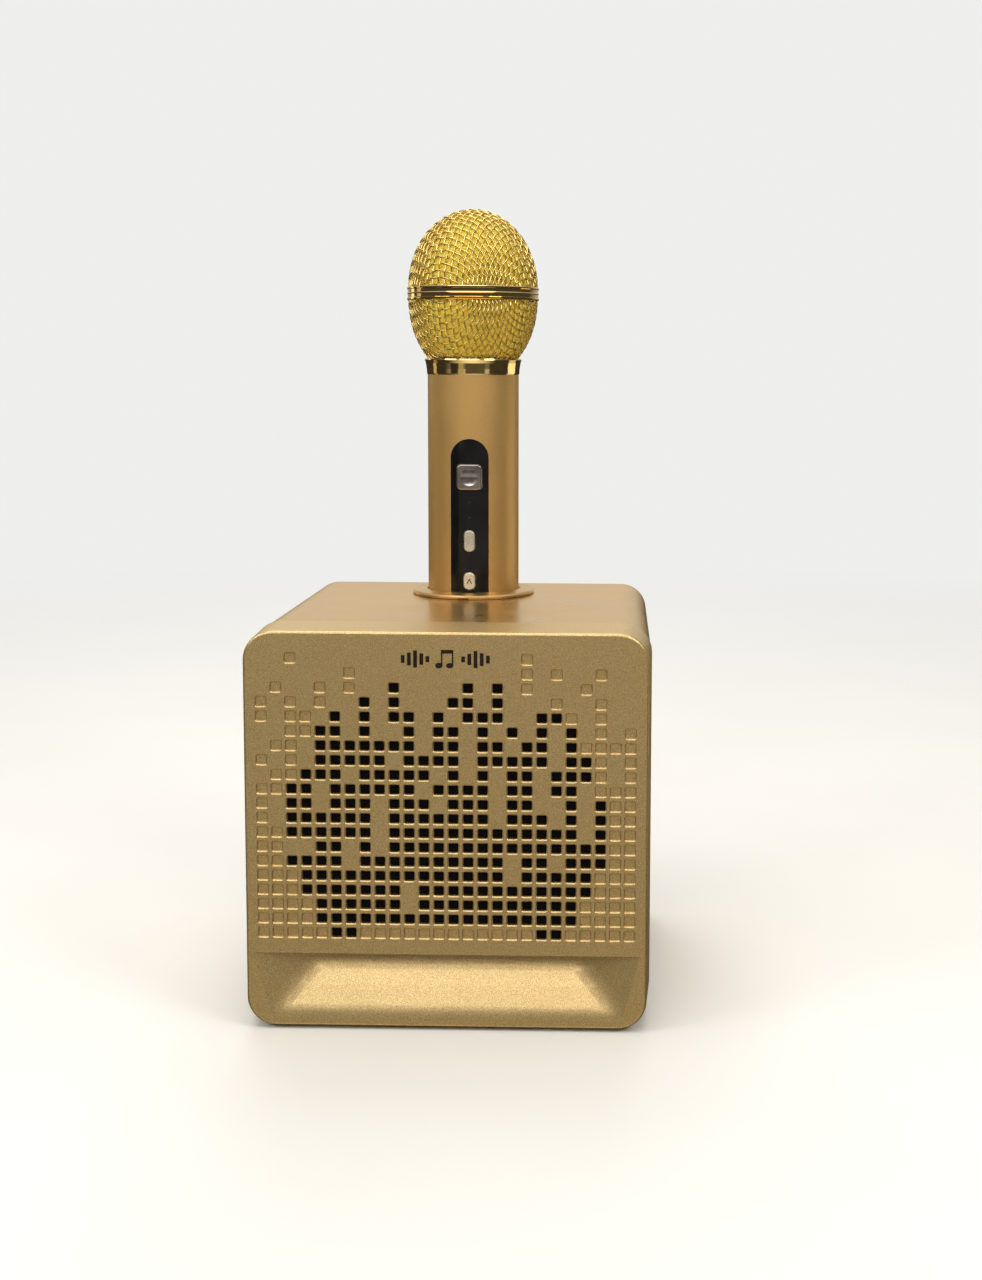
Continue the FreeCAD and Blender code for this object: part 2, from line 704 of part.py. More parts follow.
# ---------------------------------------------------------------- microphone
def half_head(name, inset, upper):
    """One half of the head: a half ellipsoid above or below the band."""
    half = doc.addObject("Part::Ellipsoid", name)
    rise = D.dome_high if upper else D.basket_high
    bind(half, "Radius1", rise - inset)
    bind(half, "Radius2", D.head_r - inset)
    bind(half, "Radius3", D.head_r - inset)
    half.Angle1 = 0 if upper else -90
    half.Angle2 = 90 if upper else 0
    return move(half, 0, 0, D.band_z + D.band_high if upper else D.band_z)


def at_dock(thing, name):
    return subpart(move(thing, 0, D.dock_y, 0), name)


def microphone_head():
    top = D.band_z + D.band_high
    at_dock(cut("mic_dome", half_head("dome_out", 0, True), half_head("dome_in", D.mesh, True)), "mic_dome")
    keep = cylinder("basket_keep", D.head_r + 2, D.basket_z, D.band_z)
    shell = cut("basket_shell", half_head("basket_out", 0, False), half_head("basket_in", D.mesh, False))
    at_dock(common("mic_basket", shell, keep), "mic_basket")
    at_dock(revolved("mic_band", [
        (D.head_r - 1.6, D.band_z), (D.band_r - 0.3, D.band_z), (D.band_r, D.band_z + 0.3),
        (D.band_r, D.band_z + 0.9), (D.band_r - 0.35, D.band_z + 1.2), (D.band_r - 0.35, D.band_z + 2.6),
        (D.band_r - 0.05, D.band_z + 3.0), (D.band_r - 0.35, D.band_z + 3.4),
        (D.band_r - 0.35, D.band_z + 4.8), (D.band_r, D.band_z + 5.1), (D.band_r, D.band_z + 5.7),
        (D.band_r - 0.3, top), (D.head_r - 1.6, top)]), "mic_band")
    at_dock(revolved("mic_collar", [
        (14, D.collar_z - 8), (D.handle_r - D.handle_wall - 0.1, D.collar_z - 8),
        (D.handle_r - D.handle_wall - 0.1, D.collar_z), (D.handle_r + 0.15, D.collar_z),
        (D.handle_r + 0.3, D.collar_z + 0.5), (D.handle_r + 0.45, D.collar_z + 2.6),
        (D.handle_r + 0.85, D.basket_z - 2.0), (D.handle_r + 1.35, D.basket_z - 0.5),
        (D.handle_r + 1.2, D.basket_z), (19.0, D.basket_z), (19.0, D.basket_z + 2), (16.5, D.basket_z + 2),
        (16.5, D.collar_z + 2), (14, D.collar_z + 2)]), "mic_collar")
    lining = D.mesh + 0.35
    foam = join("foam_outer", half_head("foam_top", lining, True), half_head("foam_low", lining, False),
                cylinder("foam_waist", D.head_r - 1.8, D.band_z - 1, top + 1))
    at_dock(cut("mic_foam", foam, cylinder("foam_room", 16.6, 250, D.band_z + 8),
                cylinder("foam_trim", D.head_r, 250, D.basket_z + 3.2)), "mic_foam")
    at_dock(revolved("mic_capsule_mount", [
        (4, D.collar_z + 2), (14, D.collar_z + 2), (14, D.collar_z + 4), (7, D.collar_z + 7),
        (7, D.basket_z + 9), (12.4, D.basket_z + 11), (12.4, D.basket_z + 20), (10.4, D.basket_z + 20),
        (10.4, D.basket_z + 13), (4, D.basket_z + 12)]), "mic_capsule_mount")
    at_dock(revolved("mic_capsule", [
        (0, D.basket_z + 13), (10.3, D.basket_z + 13), (10.3, D.basket_z + 27), (9.4, D.basket_z + 28.4),
        (7.4, D.basket_z + 28.4), (7.4, D.basket_z + 27.6), (0, D.basket_z + 27.6)]), "mic_capsule")


def stadium(name, half_wide, low, high, near, far):
    """A bar with round ends, upright in XZ, reaching from near to far along -Y."""
    middle = (as_size(low) + high) / 2
    half_high = (as_size(high) - low) / 2
    bar = rounded_prism(name, half_wide, half_high, as_size(half_wide) - 0.02,
                        as_size(far) - near, 0, middle, offset=near)
    bar.Placement = Placement(Vector(0, 0, 0), TO_FRONT)
    return bar


def microphone_body():
    inner_r = D.handle_r - D.handle_wall
    strip_seat = D.strip_r - 1.15
    body_tube = tube("handle_tube", D.handle_r, inner_r, D.tail_z + 2.6, D.collar_z)
    window = stadium("handle_window", D.strip_half - 1.4, D.strip_low + 1.4, D.strip_top - 1.4, 10, 30)
    recess = common("handle_recess",
                    stadium("handle_seat", D.strip_half, D.strip_low, D.strip_top, 10, 30),
                    tube("seat_ring", D.handle_r + 2, strip_seat, D.strip_low - 5, D.strip_top + 5))
    at_dock(cut("mic_handle", body_tube, window, recess), "mic_handle")
    fit = 0.03
    strip = common("strip_bar",
                   stadium("strip_outline", D.strip_half - fit, D.strip_low + fit,
                           D.strip_top - fit, 10, 30),
                   tube("strip_ring", D.strip_r, strip_seat, D.strip_low - 5, D.strip_top + 5))
    openings = [button_prism(key, "window", D.gap) for key in MIC_BUTTONS]
    dots = [cylinder("dot_hole", 0.75, 15, 25, TO_FRONT, z=z) for z in INDICATORS]
    at_dock(cut("mic_strip", strip, *openings, *dots), "mic_strip")
    lights = doc.addObject("Part::Compound", "mic_indicators")
    lights.Links = [cylinder("dot_lens", 0.7, strip_seat + 0.1, D.strip_r - 0.15, TO_FRONT, z=z)
                    for z in INDICATORS]
    at_dock(lights, "mic_indicators")
    switches = [box("mic_switch", (-3, 3), (-17.4, -15.5), (z - 2.5, z + 2.5))
                for z in (MIC_BUTTONS[key][0] for key in MIC_BUTTONS)]
    board = box("mic_pcb", (-9.5, 9.5), (-15.6, -14), (126, 242))
    at_dock(join("mic_board", board, *switches,
                 box("mic_chip", (-5, 5), (-14.2, -12.6), (208, 220)),
                 box("mic_antenna", (-7, 7), (-14.2, -12.8), (228, 238))), "mic_board")
    cell_low = 126
    cell_high = 189.5
    at_dock(join("mic_cell", cylinder("cell_can", 9.1, cell_low, cell_high, y=4),
                 cylinder("cell_tip", 3, cell_high - 0.5, cell_high + 1.7, y=4)), "mic_battery")
    plug_r = inner_r - 0.05
    seat = D.tail_z + 2.6
    plug_top = D.tail_z + 9
    tail = revolved("tail_turn", [
        (0, D.tail_z), (D.handle_r - 1.0, D.tail_z), (D.handle_r, D.tail_z + 1.0), (D.handle_r, seat),
        (plug_r, seat), (plug_r, plug_top), (inner_r - 2, plug_top), (inner_r - 2, seat), (0, seat)])
    holes = [cylinder("tail_hole", 2.0, D.tail_z - 1, D.tail_z + 4, x=x) for x in CONTACTS_X]
    at_dock(cut("mic_tail", tail, *holes), "mic_tail")
    pads = doc.addObject("Part::Compound", "mic_contacts")
    pads.Links = [cylinder("mic_pad", 2.0, D.tail_z, D.tail_z + 3.4, x=x) for x in CONTACTS_X]
    at_dock(pads, "mic_contacts")


# button: centre height, half width, half height, corner radius
MIC_BUTTONS = {
    "mic_button_power": (221.3, 5.75, 5.9, 2.2),
    "mic_button_oval": (192.0, 2.5, 4.95, 2.45),
    "mic_button_up": (173.5, 2.65, 4.1, 2.6),
    "mic_button_down": (156.5, 2.65, 4.1, 2.6),
}
INDICATORS = (209.8, 202.8)


def button_prism(key, use, grow):
    """The outline of a microphone button, along -Y, grown all round."""
    z, half_wide, half_high, radius = MIC_BUTTONS[key]
    start = 12 if use == "window" else D.strip_r - 3.0
    stop = D.strip_r + (6 if use == "window" else D.button_proud)
    solid = rounded_prism(f"{key}_{use}", half_wide + grow, half_high + grow, radius, stop - start,
                          0, z, offset=start)
    solid.Placement = Placement(Vector(0, 0, 0), TO_FRONT)
    return solid


def microphone_buttons():
    for key, (z, half_wide, half_high, _radius) in MIC_BUTTONS.items():
        cap = button_prism(key, "cap", 0)
        dressed(cap, "Fillet", 0.8 if key == "mic_button_power" else 0.7,
                at_height(D.strip_r + D.button_proud))
        lip = box(key + "_lip", (-half_wide - 0.6, half_wide + 0.6), (-D.strip_r + 2.65, -D.strip_r + 3.3),
                  (z - half_high - 0.9, z + half_high + 0.9))
        if key == "mic_button_power":
            dish = doc.addObject("Part::Sphere", "power_dish")
            bind(dish, "Radius", 16.0)
            move(dish, 0, -D.strip_r - D.button_proud - 15.5, z)
            at_dock(cut(key, join(key + "_solid", cap, lip), dish), key)
        else:
            at_dock(join(key, cap, lip), key)


# ---------------------------------------------------------------- rear cover and its controls
TRAY_FLOOR = REAR - D.tray_deep
KNOBS = {"knob_mic": -50.0, "knob_echo": -29.0, "knob_music": -8.0}
BUTTONS = {"button_mode": 12.0, "button_back": 22.5, "button_play": 33.0, "button_next": 43.5}
KNOB_Z = 85.0
BUTTON_Z = 94.0
SOCKET_Z = 77.0
ROCKER_X = 57.5
ROCKER_PIN_Y = 71.5
ROCKER_PIN_R = 1.0
REAR_BOARD_Y = 61.5
LIGHT_X = 20
LIGHT_Z = KNOB_Z + 1
PANEL_BACK = TRAY_FLOOR - 9
PANEL_FACE = TRAY_FLOOR + 2
BUTTON_HALF = (3.6, 2.4)


def rear_prism(name, half_wide, half_high, radius, near, far, x, z):
    """A rounded prism along Y from near to far, centred on (x, z)."""
    solid = rounded_prism(name, half_wide, half_high, radius, as_size(far) - near)
    return move(solid, x, near, z, TO_REAR)


def rear_cover():
    half = D.box_wide / 2 - D.side_taper - D.wall - 0.3
    low = D.foot_rise + D.wall + 0.3
    high = BOX_TOP - D.parting - D.wall - 0.3
    middle = (low + high) / 2
    plate = rear_prism("cover_plate", half, (high - low) / 2, D.corner_r - D.wall - 0.3,
                       REAR - D.rear_plate, REAR, 0, middle)
    tray_middle = (D.tray_low + D.tray_high) / 2
    tray_rise = (D.tray_high - D.tray_low) / 2
    window = rear_prism("panel_window", D.tray_half + D.tray_wall + D.panel_gap,
                        tray_rise + D.tray_wall + D.panel_gap, 5, REAR - 10, REAR + 1, 0, tray_middle)
    passive = rear_prism("passive_hole", D.passive_half + 1.5, D.passive_r + 1.5, D.passive_r + 1.4,
                         REAR - 10, REAR + 1, 0, D.passive_z)
    holes = []
    for x, z in REAR_SCREWS:
        holes.append(cylinder("cover_screw_hole", 1.8, REAR - 10, REAR + 1, TO_REAR, x, 0, z))
        holes.append(cylinder("cover_screw_sink", 3.4, REAR - 1.6, REAR + 1, TO_REAR, x, 0, z))
    subpart(cut("rear_cover", plate, window, passive, *holes), "rear_cover")
    screws = doc.addObject("Part::Compound", "rear_screws")
    screws.Links = [rear_screw(x, z) for x, z in REAR_SCREWS]
    subpart(screws, "rear_screws")


def control_panel():
    """Recess behind the cover's window: a rim seated from inside and a flat plate for the controls."""
    tray_middle = (D.tray_low + D.tray_high) / 2
    tray_rise = (D.tray_high - D.tray_low) / 2
    tray = rear_prism("rim_outer", D.tray_half + D.tray_wall, tray_rise + D.tray_wall, 5,
                      TRAY_FLOOR, REAR - 0.2, 0, tray_middle)
    lip = rear_prism("rim_lip", D.tray_half - 8, tray_rise + D.tray_wall + 3, 3,
                     REAR - D.rear_plate - 1.8, REAR - D.rear_plate, 0, tray_middle)
    room = rear_prism("rim_room", D.tray_half, tray_rise, 3, TRAY_FLOOR - 1, REAR + 1, 0, tray_middle)
    subpart(cut("panel_rim", join("rim_solid", tray, lip), room), "panel_rim")
    plate = rear_prism("plate_outer", D.tray_half + D.tray_wall, tray_rise + D.tray_wall, 5,
                       TRAY_FLOOR - D.tray_wall, TRAY_FLOOR, 0, tray_middle)
    holes = []
    for x in KNOBS.values():
        holes.append(cylinder("bush_hole", D.shaft_r + 1.8, PANEL_BACK, PANEL_FACE, TO_REAR, x, 0, KNOB_Z))
    for x in BUTTONS.values():
        holes.append(rear_prism("button_hole", BUTTON_HALF[0] + D.gap, BUTTON_HALF[1] + D.gap, 1.2,
                                PANEL_BACK, PANEL_FACE, x, BUTTON_Z))
    for x, half_wide, half_high, radius in SOCKETS.values():
        holes.append(rear_prism("socket_hole", half_wide, half_high, radius, PANEL_BACK, PANEL_FACE,
                                x, SOCKET_Z))
    holes.append(cylinder("led_hole", 1.6, PANEL_BACK, PANEL_FACE, TO_REAR, LIGHT_X, 0, LIGHT_Z))
    holes.append(rear_prism("rocker_hole", 5.6, 8.6, 1.0, PANEL_BACK, PANEL_FACE, ROCKER_X, KNOB_Z))
    subpart(cut("panel_plate", plate, *holes), "panel_plate")


def rear_screw(x, z):
    shank = cylinder("rear_shank", D.screw_r, REAR - 13, REAR - 1.6, TO_REAR, x, 0, z)
    head = cylinder("rear_head", 3.1, REAR - 1.6, REAR - 0.3, TO_REAR, x, 0, z)
    slot_a = box("rear_slot", (x - 2, x + 2), (REAR - 1.0, REAR + 1), (z - 0.35, z + 0.35))
    slot_b = box("rear_slot", (x - 0.35, x + 0.35), (REAR - 1.0, REAR + 1), (z - 2, z + 2))
    return cut("rear_screw", join("rear_screw_solid", shank, head), slot_a, slot_b)


# socket: x, half width, half height, corner radius
SOCKETS = {
    "socket_usb": (14.0, 6.9, 3.3, 0.6),
    "socket_card": (29.0, 6.4, 1.7, 0.5),
    "socket_audio": (40.0, 3.4, 3.4, 3.38),
    "socket_charge": (47.25, 3.6, 1.9, 1.88),
}
JACK_R = 1.78


def sockets():
    back = REAR_BOARD_Y
    mouth = TRAY_FLOOR + 0.6
    data = []
    for name, (x, half_wide, half_high, radius) in SOCKETS.items():
        shell = rear_prism(name + "_shell", half_wide - 0.05, half_high - 0.05, radius - 0.08, back, mouth,
                           x, SOCKET_Z)
        if name == "socket_audio":
            hollow = cylinder("jack_bore", JACK_R, back + 1, mouth + 1, TO_REAR, x, 0, SOCKET_Z)
            subpart(cut(name, shell, hollow), name)
            continue
        hollow = rear_prism(name + "_room", half_wide - 0.6, half_high - 0.6, max(radius - 0.6, 0.2),
                            back + 2.5, mouth + 1, x, SOCKET_Z)
        opened = cut(name + "_hollow", shell, hollow)
        if name != "socket_card":
            tongue = box(name + "_tongue", (x - half_wide * 0.7, x + half_wide * 0.7),
                         (back + 1, mouth - 1.2), (SOCKET_Z - 0.3, SOCKET_Z + 0.3))
            opened = join(name, opened, tongue)
        data.append(opened)
    group = doc.addObject("Part::Compound", "data_sockets")
    group.Links = data
    subpart(group, "data_sockets")


def rear_controls():
    lip_back = 69.9
    switches = [box("tact", (x - 3, x + 3), (REAR_BOARD_Y - 0.5, lip_back - 1.3),
                    (BUTTON_Z - 3, BUTTON_Z + 3)) for x in BUTTONS.values()]
    subpart(join("rear_board", box("rear_pcb", (-60, 50.5), (REAR_BOARD_Y - 1.6, REAR_BOARD_Y), (68, 101)),
                 *switches), "rear_board")
    pots = doc.addObject("Part::Compound", "knob_pots")
    pots.Links = [potentiometer(x) for x in KNOBS.values()]
    subpart(pots, "knob_pots")
    for name, x in KNOBS.items():
        subpart(knob(name, x), name)
    for name, x in BUTTONS.items():
        half_wide, half_high = BUTTON_HALF
        cap = rear_prism(name + "_cap", half_wide, half_high, 1.0, lip_back + 0.3, TRAY_FLOOR + 1.6,
                         x, BUTTON_Z)
        lip = box(name + "_lip", (x - half_wide - 1, x + half_wide + 1), (lip_back, lip_back + 0.9),
                  (BUTTON_Z - half_high - 1, BUTTON_Z + half_high + 1))
        subpart(join(name, cap, lip), name)
    frame = cut("rocker_frame",
                join("rocker_solid",
                     rear_prism("rocker_rim", 6.4, 9.4, 1.5, TRAY_FLOOR, TRAY_FLOOR + 1.0, ROCKER_X, KNOB_Z),
                     rear_prism("rocker_case", 5.5, 8.5, 0.8, 60.5, TRAY_FLOOR + 0.5, ROCKER_X, KNOB_Z)),
                rear_prism("rocker_room", 4.6, 7.6, 0.4, 62.0, TRAY_FLOOR + 2, ROCKER_X, KNOB_Z),
                cylinder("rocker_pin_hole", ROCKER_PIN_R + D.shaft_gap, -5.2, 5.2, ACROSS_X,
                         ROCKER_X, ROCKER_PIN_Y, KNOB_Z))
    subpart(frame, "rocker_frame")
    subpart(rocker(), "power_rocker")
    subpart(cylinder("status_light", 1.5, REAR_BOARD_Y, TRAY_FLOOR + 0.5, TO_REAR, LIGHT_X, 0, LIGHT_Z),
            "status_light")


def potentiometer(x):
    """A potentiometer on the board, its bush reaching through the control panel."""
    half = 8
    face = 69.5
    case = join("pot_solid",
                box("pot_case", (x - half, x + half), (REAR_BOARD_Y, face), (KNOB_Z - half, KNOB_Z + half)),
                cylinder("pot_bush", D.shaft_r + 1.7, face - 0.5, TRAY_FLOOR + 0.2, TO_REAR, x, 0, KNOB_Z))
    bore = cylinder("pot_bore", D.shaft_r + D.shaft_gap, REAR_BOARD_Y + 1, REAR, TO_REAR, x, 0, KNOB_Z)
    return cut("pot", case, bore)


def rocker():
    """A V-backed rocker on a cross pin; it leans one way or the other by eight degrees."""
    paddle = body("rocker_paddle")
    y = Size(ROCKER_PIN_Y)
    corners = [(y - 3.0, KNOB_Z - 2.2), (y + 0.6, KNOB_Z - 7.0), (y + 4.6, KNOB_Z - 6.8),
               (y + 3.4, KNOB_Z), (y + 4.6, KNOB_Z + 6.8), (y + 0.6, KNOB_Z + 7.0), (y - 3.0, KNOB_Z + 2.2)]
    profile = outline(sketch(paddle, "YZ_Plane"), corners)
    pad = paddle.newObject("PartDesign::Pad", "rocker_pad")
    pad.Profile = profile
    pad.Midplane = True
    bind(pad, "Length", 8.4)
    move(paddle, ROCKER_X, 0, 0)
    pin = cylinder("rocker_pin", ROCKER_PIN_R, -5.0, 5.0, ACROSS_X, ROCKER_X, ROCKER_PIN_Y, KNOB_Z)
    return join("power_rocker", paddle, pin)


def knob(name, x):
    """A grooved knob with its shaft, on its own axis along +Y."""
    solid = body(name + "_turned")
    profile = outline(sketch(solid, "XZ_Plane"), [
        (0, -11.0), (D.shaft_r, -11.0), (D.shaft_r, 0.6), (D.knob_r, 0.6), (D.knob_r, D.knob_high - 0.6),
        (D.knob_r - 0.8, D.knob_high), (0, D.knob_high)])
    turn = solid.newObject("PartDesign::Revolution", name + "_turn")
    turn.Profile = profile
    turn.ReferenceAxis = (profile, ["V_Axis"])
    turn.Angle = 360
    groove = circle(sketch(solid, "XY_Plane", 1.4), 0.55, D.knob_r + 0.15, 0)
    flute = solid.newObject("PartDesign::Pocket", name + "_flute")
    flute.Profile = groove
    flute.Reversed = True
    bind(flute, "Length", D.knob_high)
    ring = solid.newObject("PartDesign::PolarPattern", name + "_flutes")
    ring.Originals = [flute]
    ring.Axis = (groove, ["N_Axis"])
    ring.Angle = 360
    ring.Occurrences = 20
    solid.Tip = ring
    doc.recompute()
    pointer = box(name + "_pointer", (-0.5, 0.5), (2.2, 6.2), (D.knob_high - 0.5, D.knob_high + 1))
    whole = cut(name + "_solid", solid, pointer)
    return move(whole, x, TRAY_FLOOR + 0.2, KNOB_Z, Rotation(Vector(0, 1, 1), 180))


def passive_radiator():
    z = D.passive_z
    half = D.passive_half
    radius = D.passive_r
    seat = REAR - D.rear_plate

    def oval(name, inset, near, far):
        """A prism with round ends, set in from the plate's outline all round."""
        return rear_prism(name, half - inset, radius - inset, radius - inset - 0.1, near, far, 0, z)
    ring = cut("passive_ring", rear_prism("ring_outer", half + 6, radius + 6, 12, seat - 3.5, seat, 0, z),
               oval("ring_inner", -0.5, seat - 5, seat + 1))
    subpart(ring, "passive_ring")
    roll = cut("passive_rubber", oval("rubber_outer", 0, seat - 3.0, seat - 0.8),
               oval("rubber_groove", 1.6, seat - 4, seat - 2.2))
    floor = oval("rubber_floor", 7.0, seat - 2.6, seat - 0.8)
    subpart(join("passive_diaphragm", roll, floor), "passive_diaphragm")
    subpart(oval("passive_weight", 8.5, seat - 0.8, seat + 0.6), "passive_weight")


# ---------------------------------------------------------------- inside the box, and feet
def inside():
    face = BOARD_Z + BOARD
    base = face - 0.2
    parts = [box("main_pcb", (-46, 46), (-18, 42), (BOARD_Z, face)),
             box("amp_sink", (-30, -6), (-8, 6), (base, face + 13.4)),
             box("main_chip", (8, 20), (2, 14), (base, face + 1.6)),
             box("main_coil", (26, 38), (-10, 2), (base, face + 7.4)),
             cylinder("main_cap_a", 5, base, face + 15.4, x=-20, y=26),
             cylinder("main_cap_b", 5, base, face + 15.4, x=-8, y=26),
             box("main_plug", (10, 34), (30, 38), (base, face + 8.4))]
    subpart(join("main_board", *parts), "main_board")
    floor = D.foot_rise + D.wall
    cell_r = 9.4
    middles = (cell_r - 6.8, 3 * cell_r - 6.8)
    cells = [cylinder("pack_cell", cell_r, -33, 33, ACROSS_X, 0, y, floor + cell_r) for y in middles]
    wrap = box("pack_wrap", (-33, 33), middles, (floor, floor + 16))
    subpart(join("battery_pack", wrap, *cells), "battery_pack")
    for side, across in (("left", -64), ("right", 64)):
        for end, along in (("front", -62), ("rear", 62)):
            foot = revolved(f"foot_{end}_{side}", [
                (0, 0), (6.6, 0), (7.4, 0.6), (7.6, D.foot_rise), (5, D.foot_rise), (0, D.foot_rise)])
            subpart(move(foot, across, along, 0), f"foot_{end}_{side}")


def build():
    front_cap()
    front_mark()
    main_shell()
    baffle_parts()
    driver()
    dock()
    microphone_head()
    microphone_body()
    microphone_buttons()
    rear_cover()
    control_panel()
    sockets()
    rear_controls()
    passive_radiator()
    inside()
    doc.recompute()


def check_and_write():
    problems = [item.Name for item in doc.Objects
                if {"Invalid", "Error"} & set(item.State)]
    for thing in SUBPARTS:
        if thing.Shape.isNull() or not thing.Shape.isValid():
            problems.append(thing.Label + ": bad shape")
    if problems:
        raise RuntimeError("failed objects: " + ", ".join(problems))
    os.makedirs("parts", exist_ok=True)
    for thing in SUBPARTS:
        thing.Shape.exportStep(f"parts/{thing.Label}.step")
        size = thing.Shape.optimalBoundingBox()
        print(f"{thing.Label:20s} solids {len(thing.Shape.Solids)} volume {thing.Shape.Volume:10.1f} "
              f"x {size.XMin:.1f}..{size.XMax:.1f} y {size.YMin:.1f}..{size.YMax:.1f} "
              f"z {size.ZMin:.1f}..{size.ZMax:.1f}")


build()
check_and_write()
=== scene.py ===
"""Looks of the karaoke set: gold speaker cube with a cordless microphone in its dock."""
import json
import math

import bpy
from mathutils import Matrix, Vector, noise


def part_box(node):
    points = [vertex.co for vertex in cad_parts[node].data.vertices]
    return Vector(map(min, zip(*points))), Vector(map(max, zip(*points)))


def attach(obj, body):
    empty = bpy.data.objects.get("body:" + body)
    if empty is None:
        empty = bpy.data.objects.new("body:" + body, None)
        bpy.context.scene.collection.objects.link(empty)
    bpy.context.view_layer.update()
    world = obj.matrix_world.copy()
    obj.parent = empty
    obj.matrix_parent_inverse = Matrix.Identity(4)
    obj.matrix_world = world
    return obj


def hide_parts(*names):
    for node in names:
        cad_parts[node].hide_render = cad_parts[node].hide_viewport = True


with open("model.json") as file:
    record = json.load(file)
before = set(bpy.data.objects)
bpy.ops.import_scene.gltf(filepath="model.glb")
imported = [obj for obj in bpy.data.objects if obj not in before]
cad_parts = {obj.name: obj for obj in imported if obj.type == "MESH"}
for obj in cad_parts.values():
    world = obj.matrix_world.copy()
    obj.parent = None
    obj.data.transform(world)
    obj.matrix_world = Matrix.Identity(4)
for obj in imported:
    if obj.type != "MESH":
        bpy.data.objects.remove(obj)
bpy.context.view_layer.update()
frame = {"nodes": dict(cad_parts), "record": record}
NODES = frame["nodes"]
MM = 0.001

# Places read from the frame.
BAND_LOW, BAND_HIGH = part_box("mic_band")
COLLAR_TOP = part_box("mic_collar")[1].z
DOME_LOW, DOME_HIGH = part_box("mic_dome")
BASKET_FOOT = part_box("mic_basket")[0].z
FRONT_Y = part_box("front_cap")[0].y
AXIS_Y = (BAND_LOW.y + BAND_HIGH.y) / 2
HEAD_R = (DOME_HIGH.x - DOME_LOW.x) / 2
DOME_RISE = DOME_HIGH.z - BAND_HIGH.z
BASKET_DROP = 37.5 * MM     # half axis of the lower basket

# Weave of the head.
MESH_PITCH = 3.15 * MM
WIRE_R = 0.35 * MM
WIRE_INSET = 0.67 * MM      # wire centres inside the CAD shell
CRIMP = WIRE_R * 0.85       # how far a wire bends out and in at each crossing
NET_COUNT = 20              # lanes each way from the pole
NET_SPIN = math.radians(-90 - 27)
TUCK = -1.2 * MM            # the weave ends this far behind the band
NO_TRIM = 1.0

# Foam ball inside the weave.
FOAM_INSET = 1.20 * MM
FOAM_BORE = 15 * MM
BASKET_RINGS = 28
DOME_RINGS = 40
FOAM_SIDES = 120

# Ink strokes: half width and thickness.
ARROW_INK = (0.22 * MM, 0.05 * MM)
TICK_INK = (0.16 * MM, 0.04 * MM)
SIGN_INK = (0.17 * MM, 0.05 * MM)
TRAY_DEEP = 8.0 * MM        # recess of the rear control panel

# Signs on the rear buttons: strokes as (x, z, x, z) in millimetres from the button's middle.
CHEVRON_RIGHT = [(-0.5, 1.0, 0.6, 0.0), (0.6, 0.0, -0.5, -1.0)]
CHEVRON_LEFT = [(-a, b, -c, d) for a, b, c, d in CHEVRON_RIGHT]
BUTTON_SIGNS = {
    "button_mode": [(-0.9, 0.9, 0.9, 0.9), (-0.9, 0.0, 0.9, 0.0), (-0.9, -0.9, 0.9, -0.9)],
    "button_back": [(a + x, b, c + x, d) for x in (-0.7, 0.7) for a, b, c, d in CHEVRON_RIGHT],
    "button_play": CHEVRON_LEFT + [(0.5, 1.0, 0.5, -1.0)],
    "button_next": [(a + x, b, c + x, d) for x in (-0.7, 0.7) for a, b, c, d in CHEVRON_LEFT],
}

# Finishes: nodes that differ from their record slot, and the finish each gets instead.
OWN_FINISH = {"mic_indicators": "dot_black", "mic_button_oval": "button_pearl"}

# Surroundings: what the eye sees, and what reflections see.
PALE = (0.86, 0.86, 0.85)
ROOM = {
    "below": (0.045, 0.038, 0.026), "level": (0.080, 0.072, 0.052), "above": (0.70, 0.67, 0.60),
    "wall": (0.74, 0.68, 0.57), "table": (0.085, 0.075, 0.055), "table_far": (0.78, 0.71, 0.60),
    "table_near": (2.1, 1.9, 1.3),
}
HEAD_AIM = (0, 0.04, 0.25)
BOX_AIM = (0, -0.05, 0.08)
COLLAR_AIM = (0, 0.024, 0.27)
SOFT_WHITE = (1.0, 0.98, 0.95)


# ---------------------------------------------------------------- shader building
class NodeTree:
    """A node tree with short ways to add the nodes that repeat."""

    def __init__(self, tree):
        self.tree = tree

    def node(self, kind, **settings):
        """A new node; a setting fills the input of that name, or else the node's own property."""
        item = self.tree.nodes.new(kind)
        for key, value in settings.items():
            if key in item.inputs:
                item.inputs[key].default_value = value
            elif key.replace("_", " ") in item.inputs:
                item.inputs[key.replace("_", " ")].default_value = value
            else:
                setattr(item, key, value)
        return item

    def link(self, output, target):
        self.tree.links.new(output, target)

    def feed(self, socket, value):
        """Link an output to the socket, or give it a plain value."""
        if hasattr(value, "is_linked"):
            self.link(value, socket)
        else:
            socket.default_value = value

    def span(self, value, low, high, out_low=0.0, out_high=1.0):
        """Map low..high to out_low..out_high, held at both ends."""
        item = self.node("ShaderNodeMapRange")
        for socket, number in zip(("From Min", "From Max", "To Min", "To Max"),
                                  (low, high, out_low, out_high)):
            item.inputs[socket].default_value = number
        self.link(value, item.inputs["Value"])
        return item.outputs["Result"]

    def math(self, operation, first, second):
        item = self.node("ShaderNodeMath", operation=operation)
        for socket, value in zip(item.inputs, (first, second)):
            self.feed(socket, value)
        return item.outputs[0]

    def mix(self, factor, first, second):
        """Blend two colours, each a plain tuple or an output."""
        item = self.node("ShaderNodeMix", data_type="RGBA")
        self.link(factor, item.inputs[0])
        for socket, value in zip((item.inputs[6], item.inputs[7]), (first, second)):
            self.feed(socket, (*value, 1.0) if isinstance(value, tuple) else value)
        return item.outputs[2]


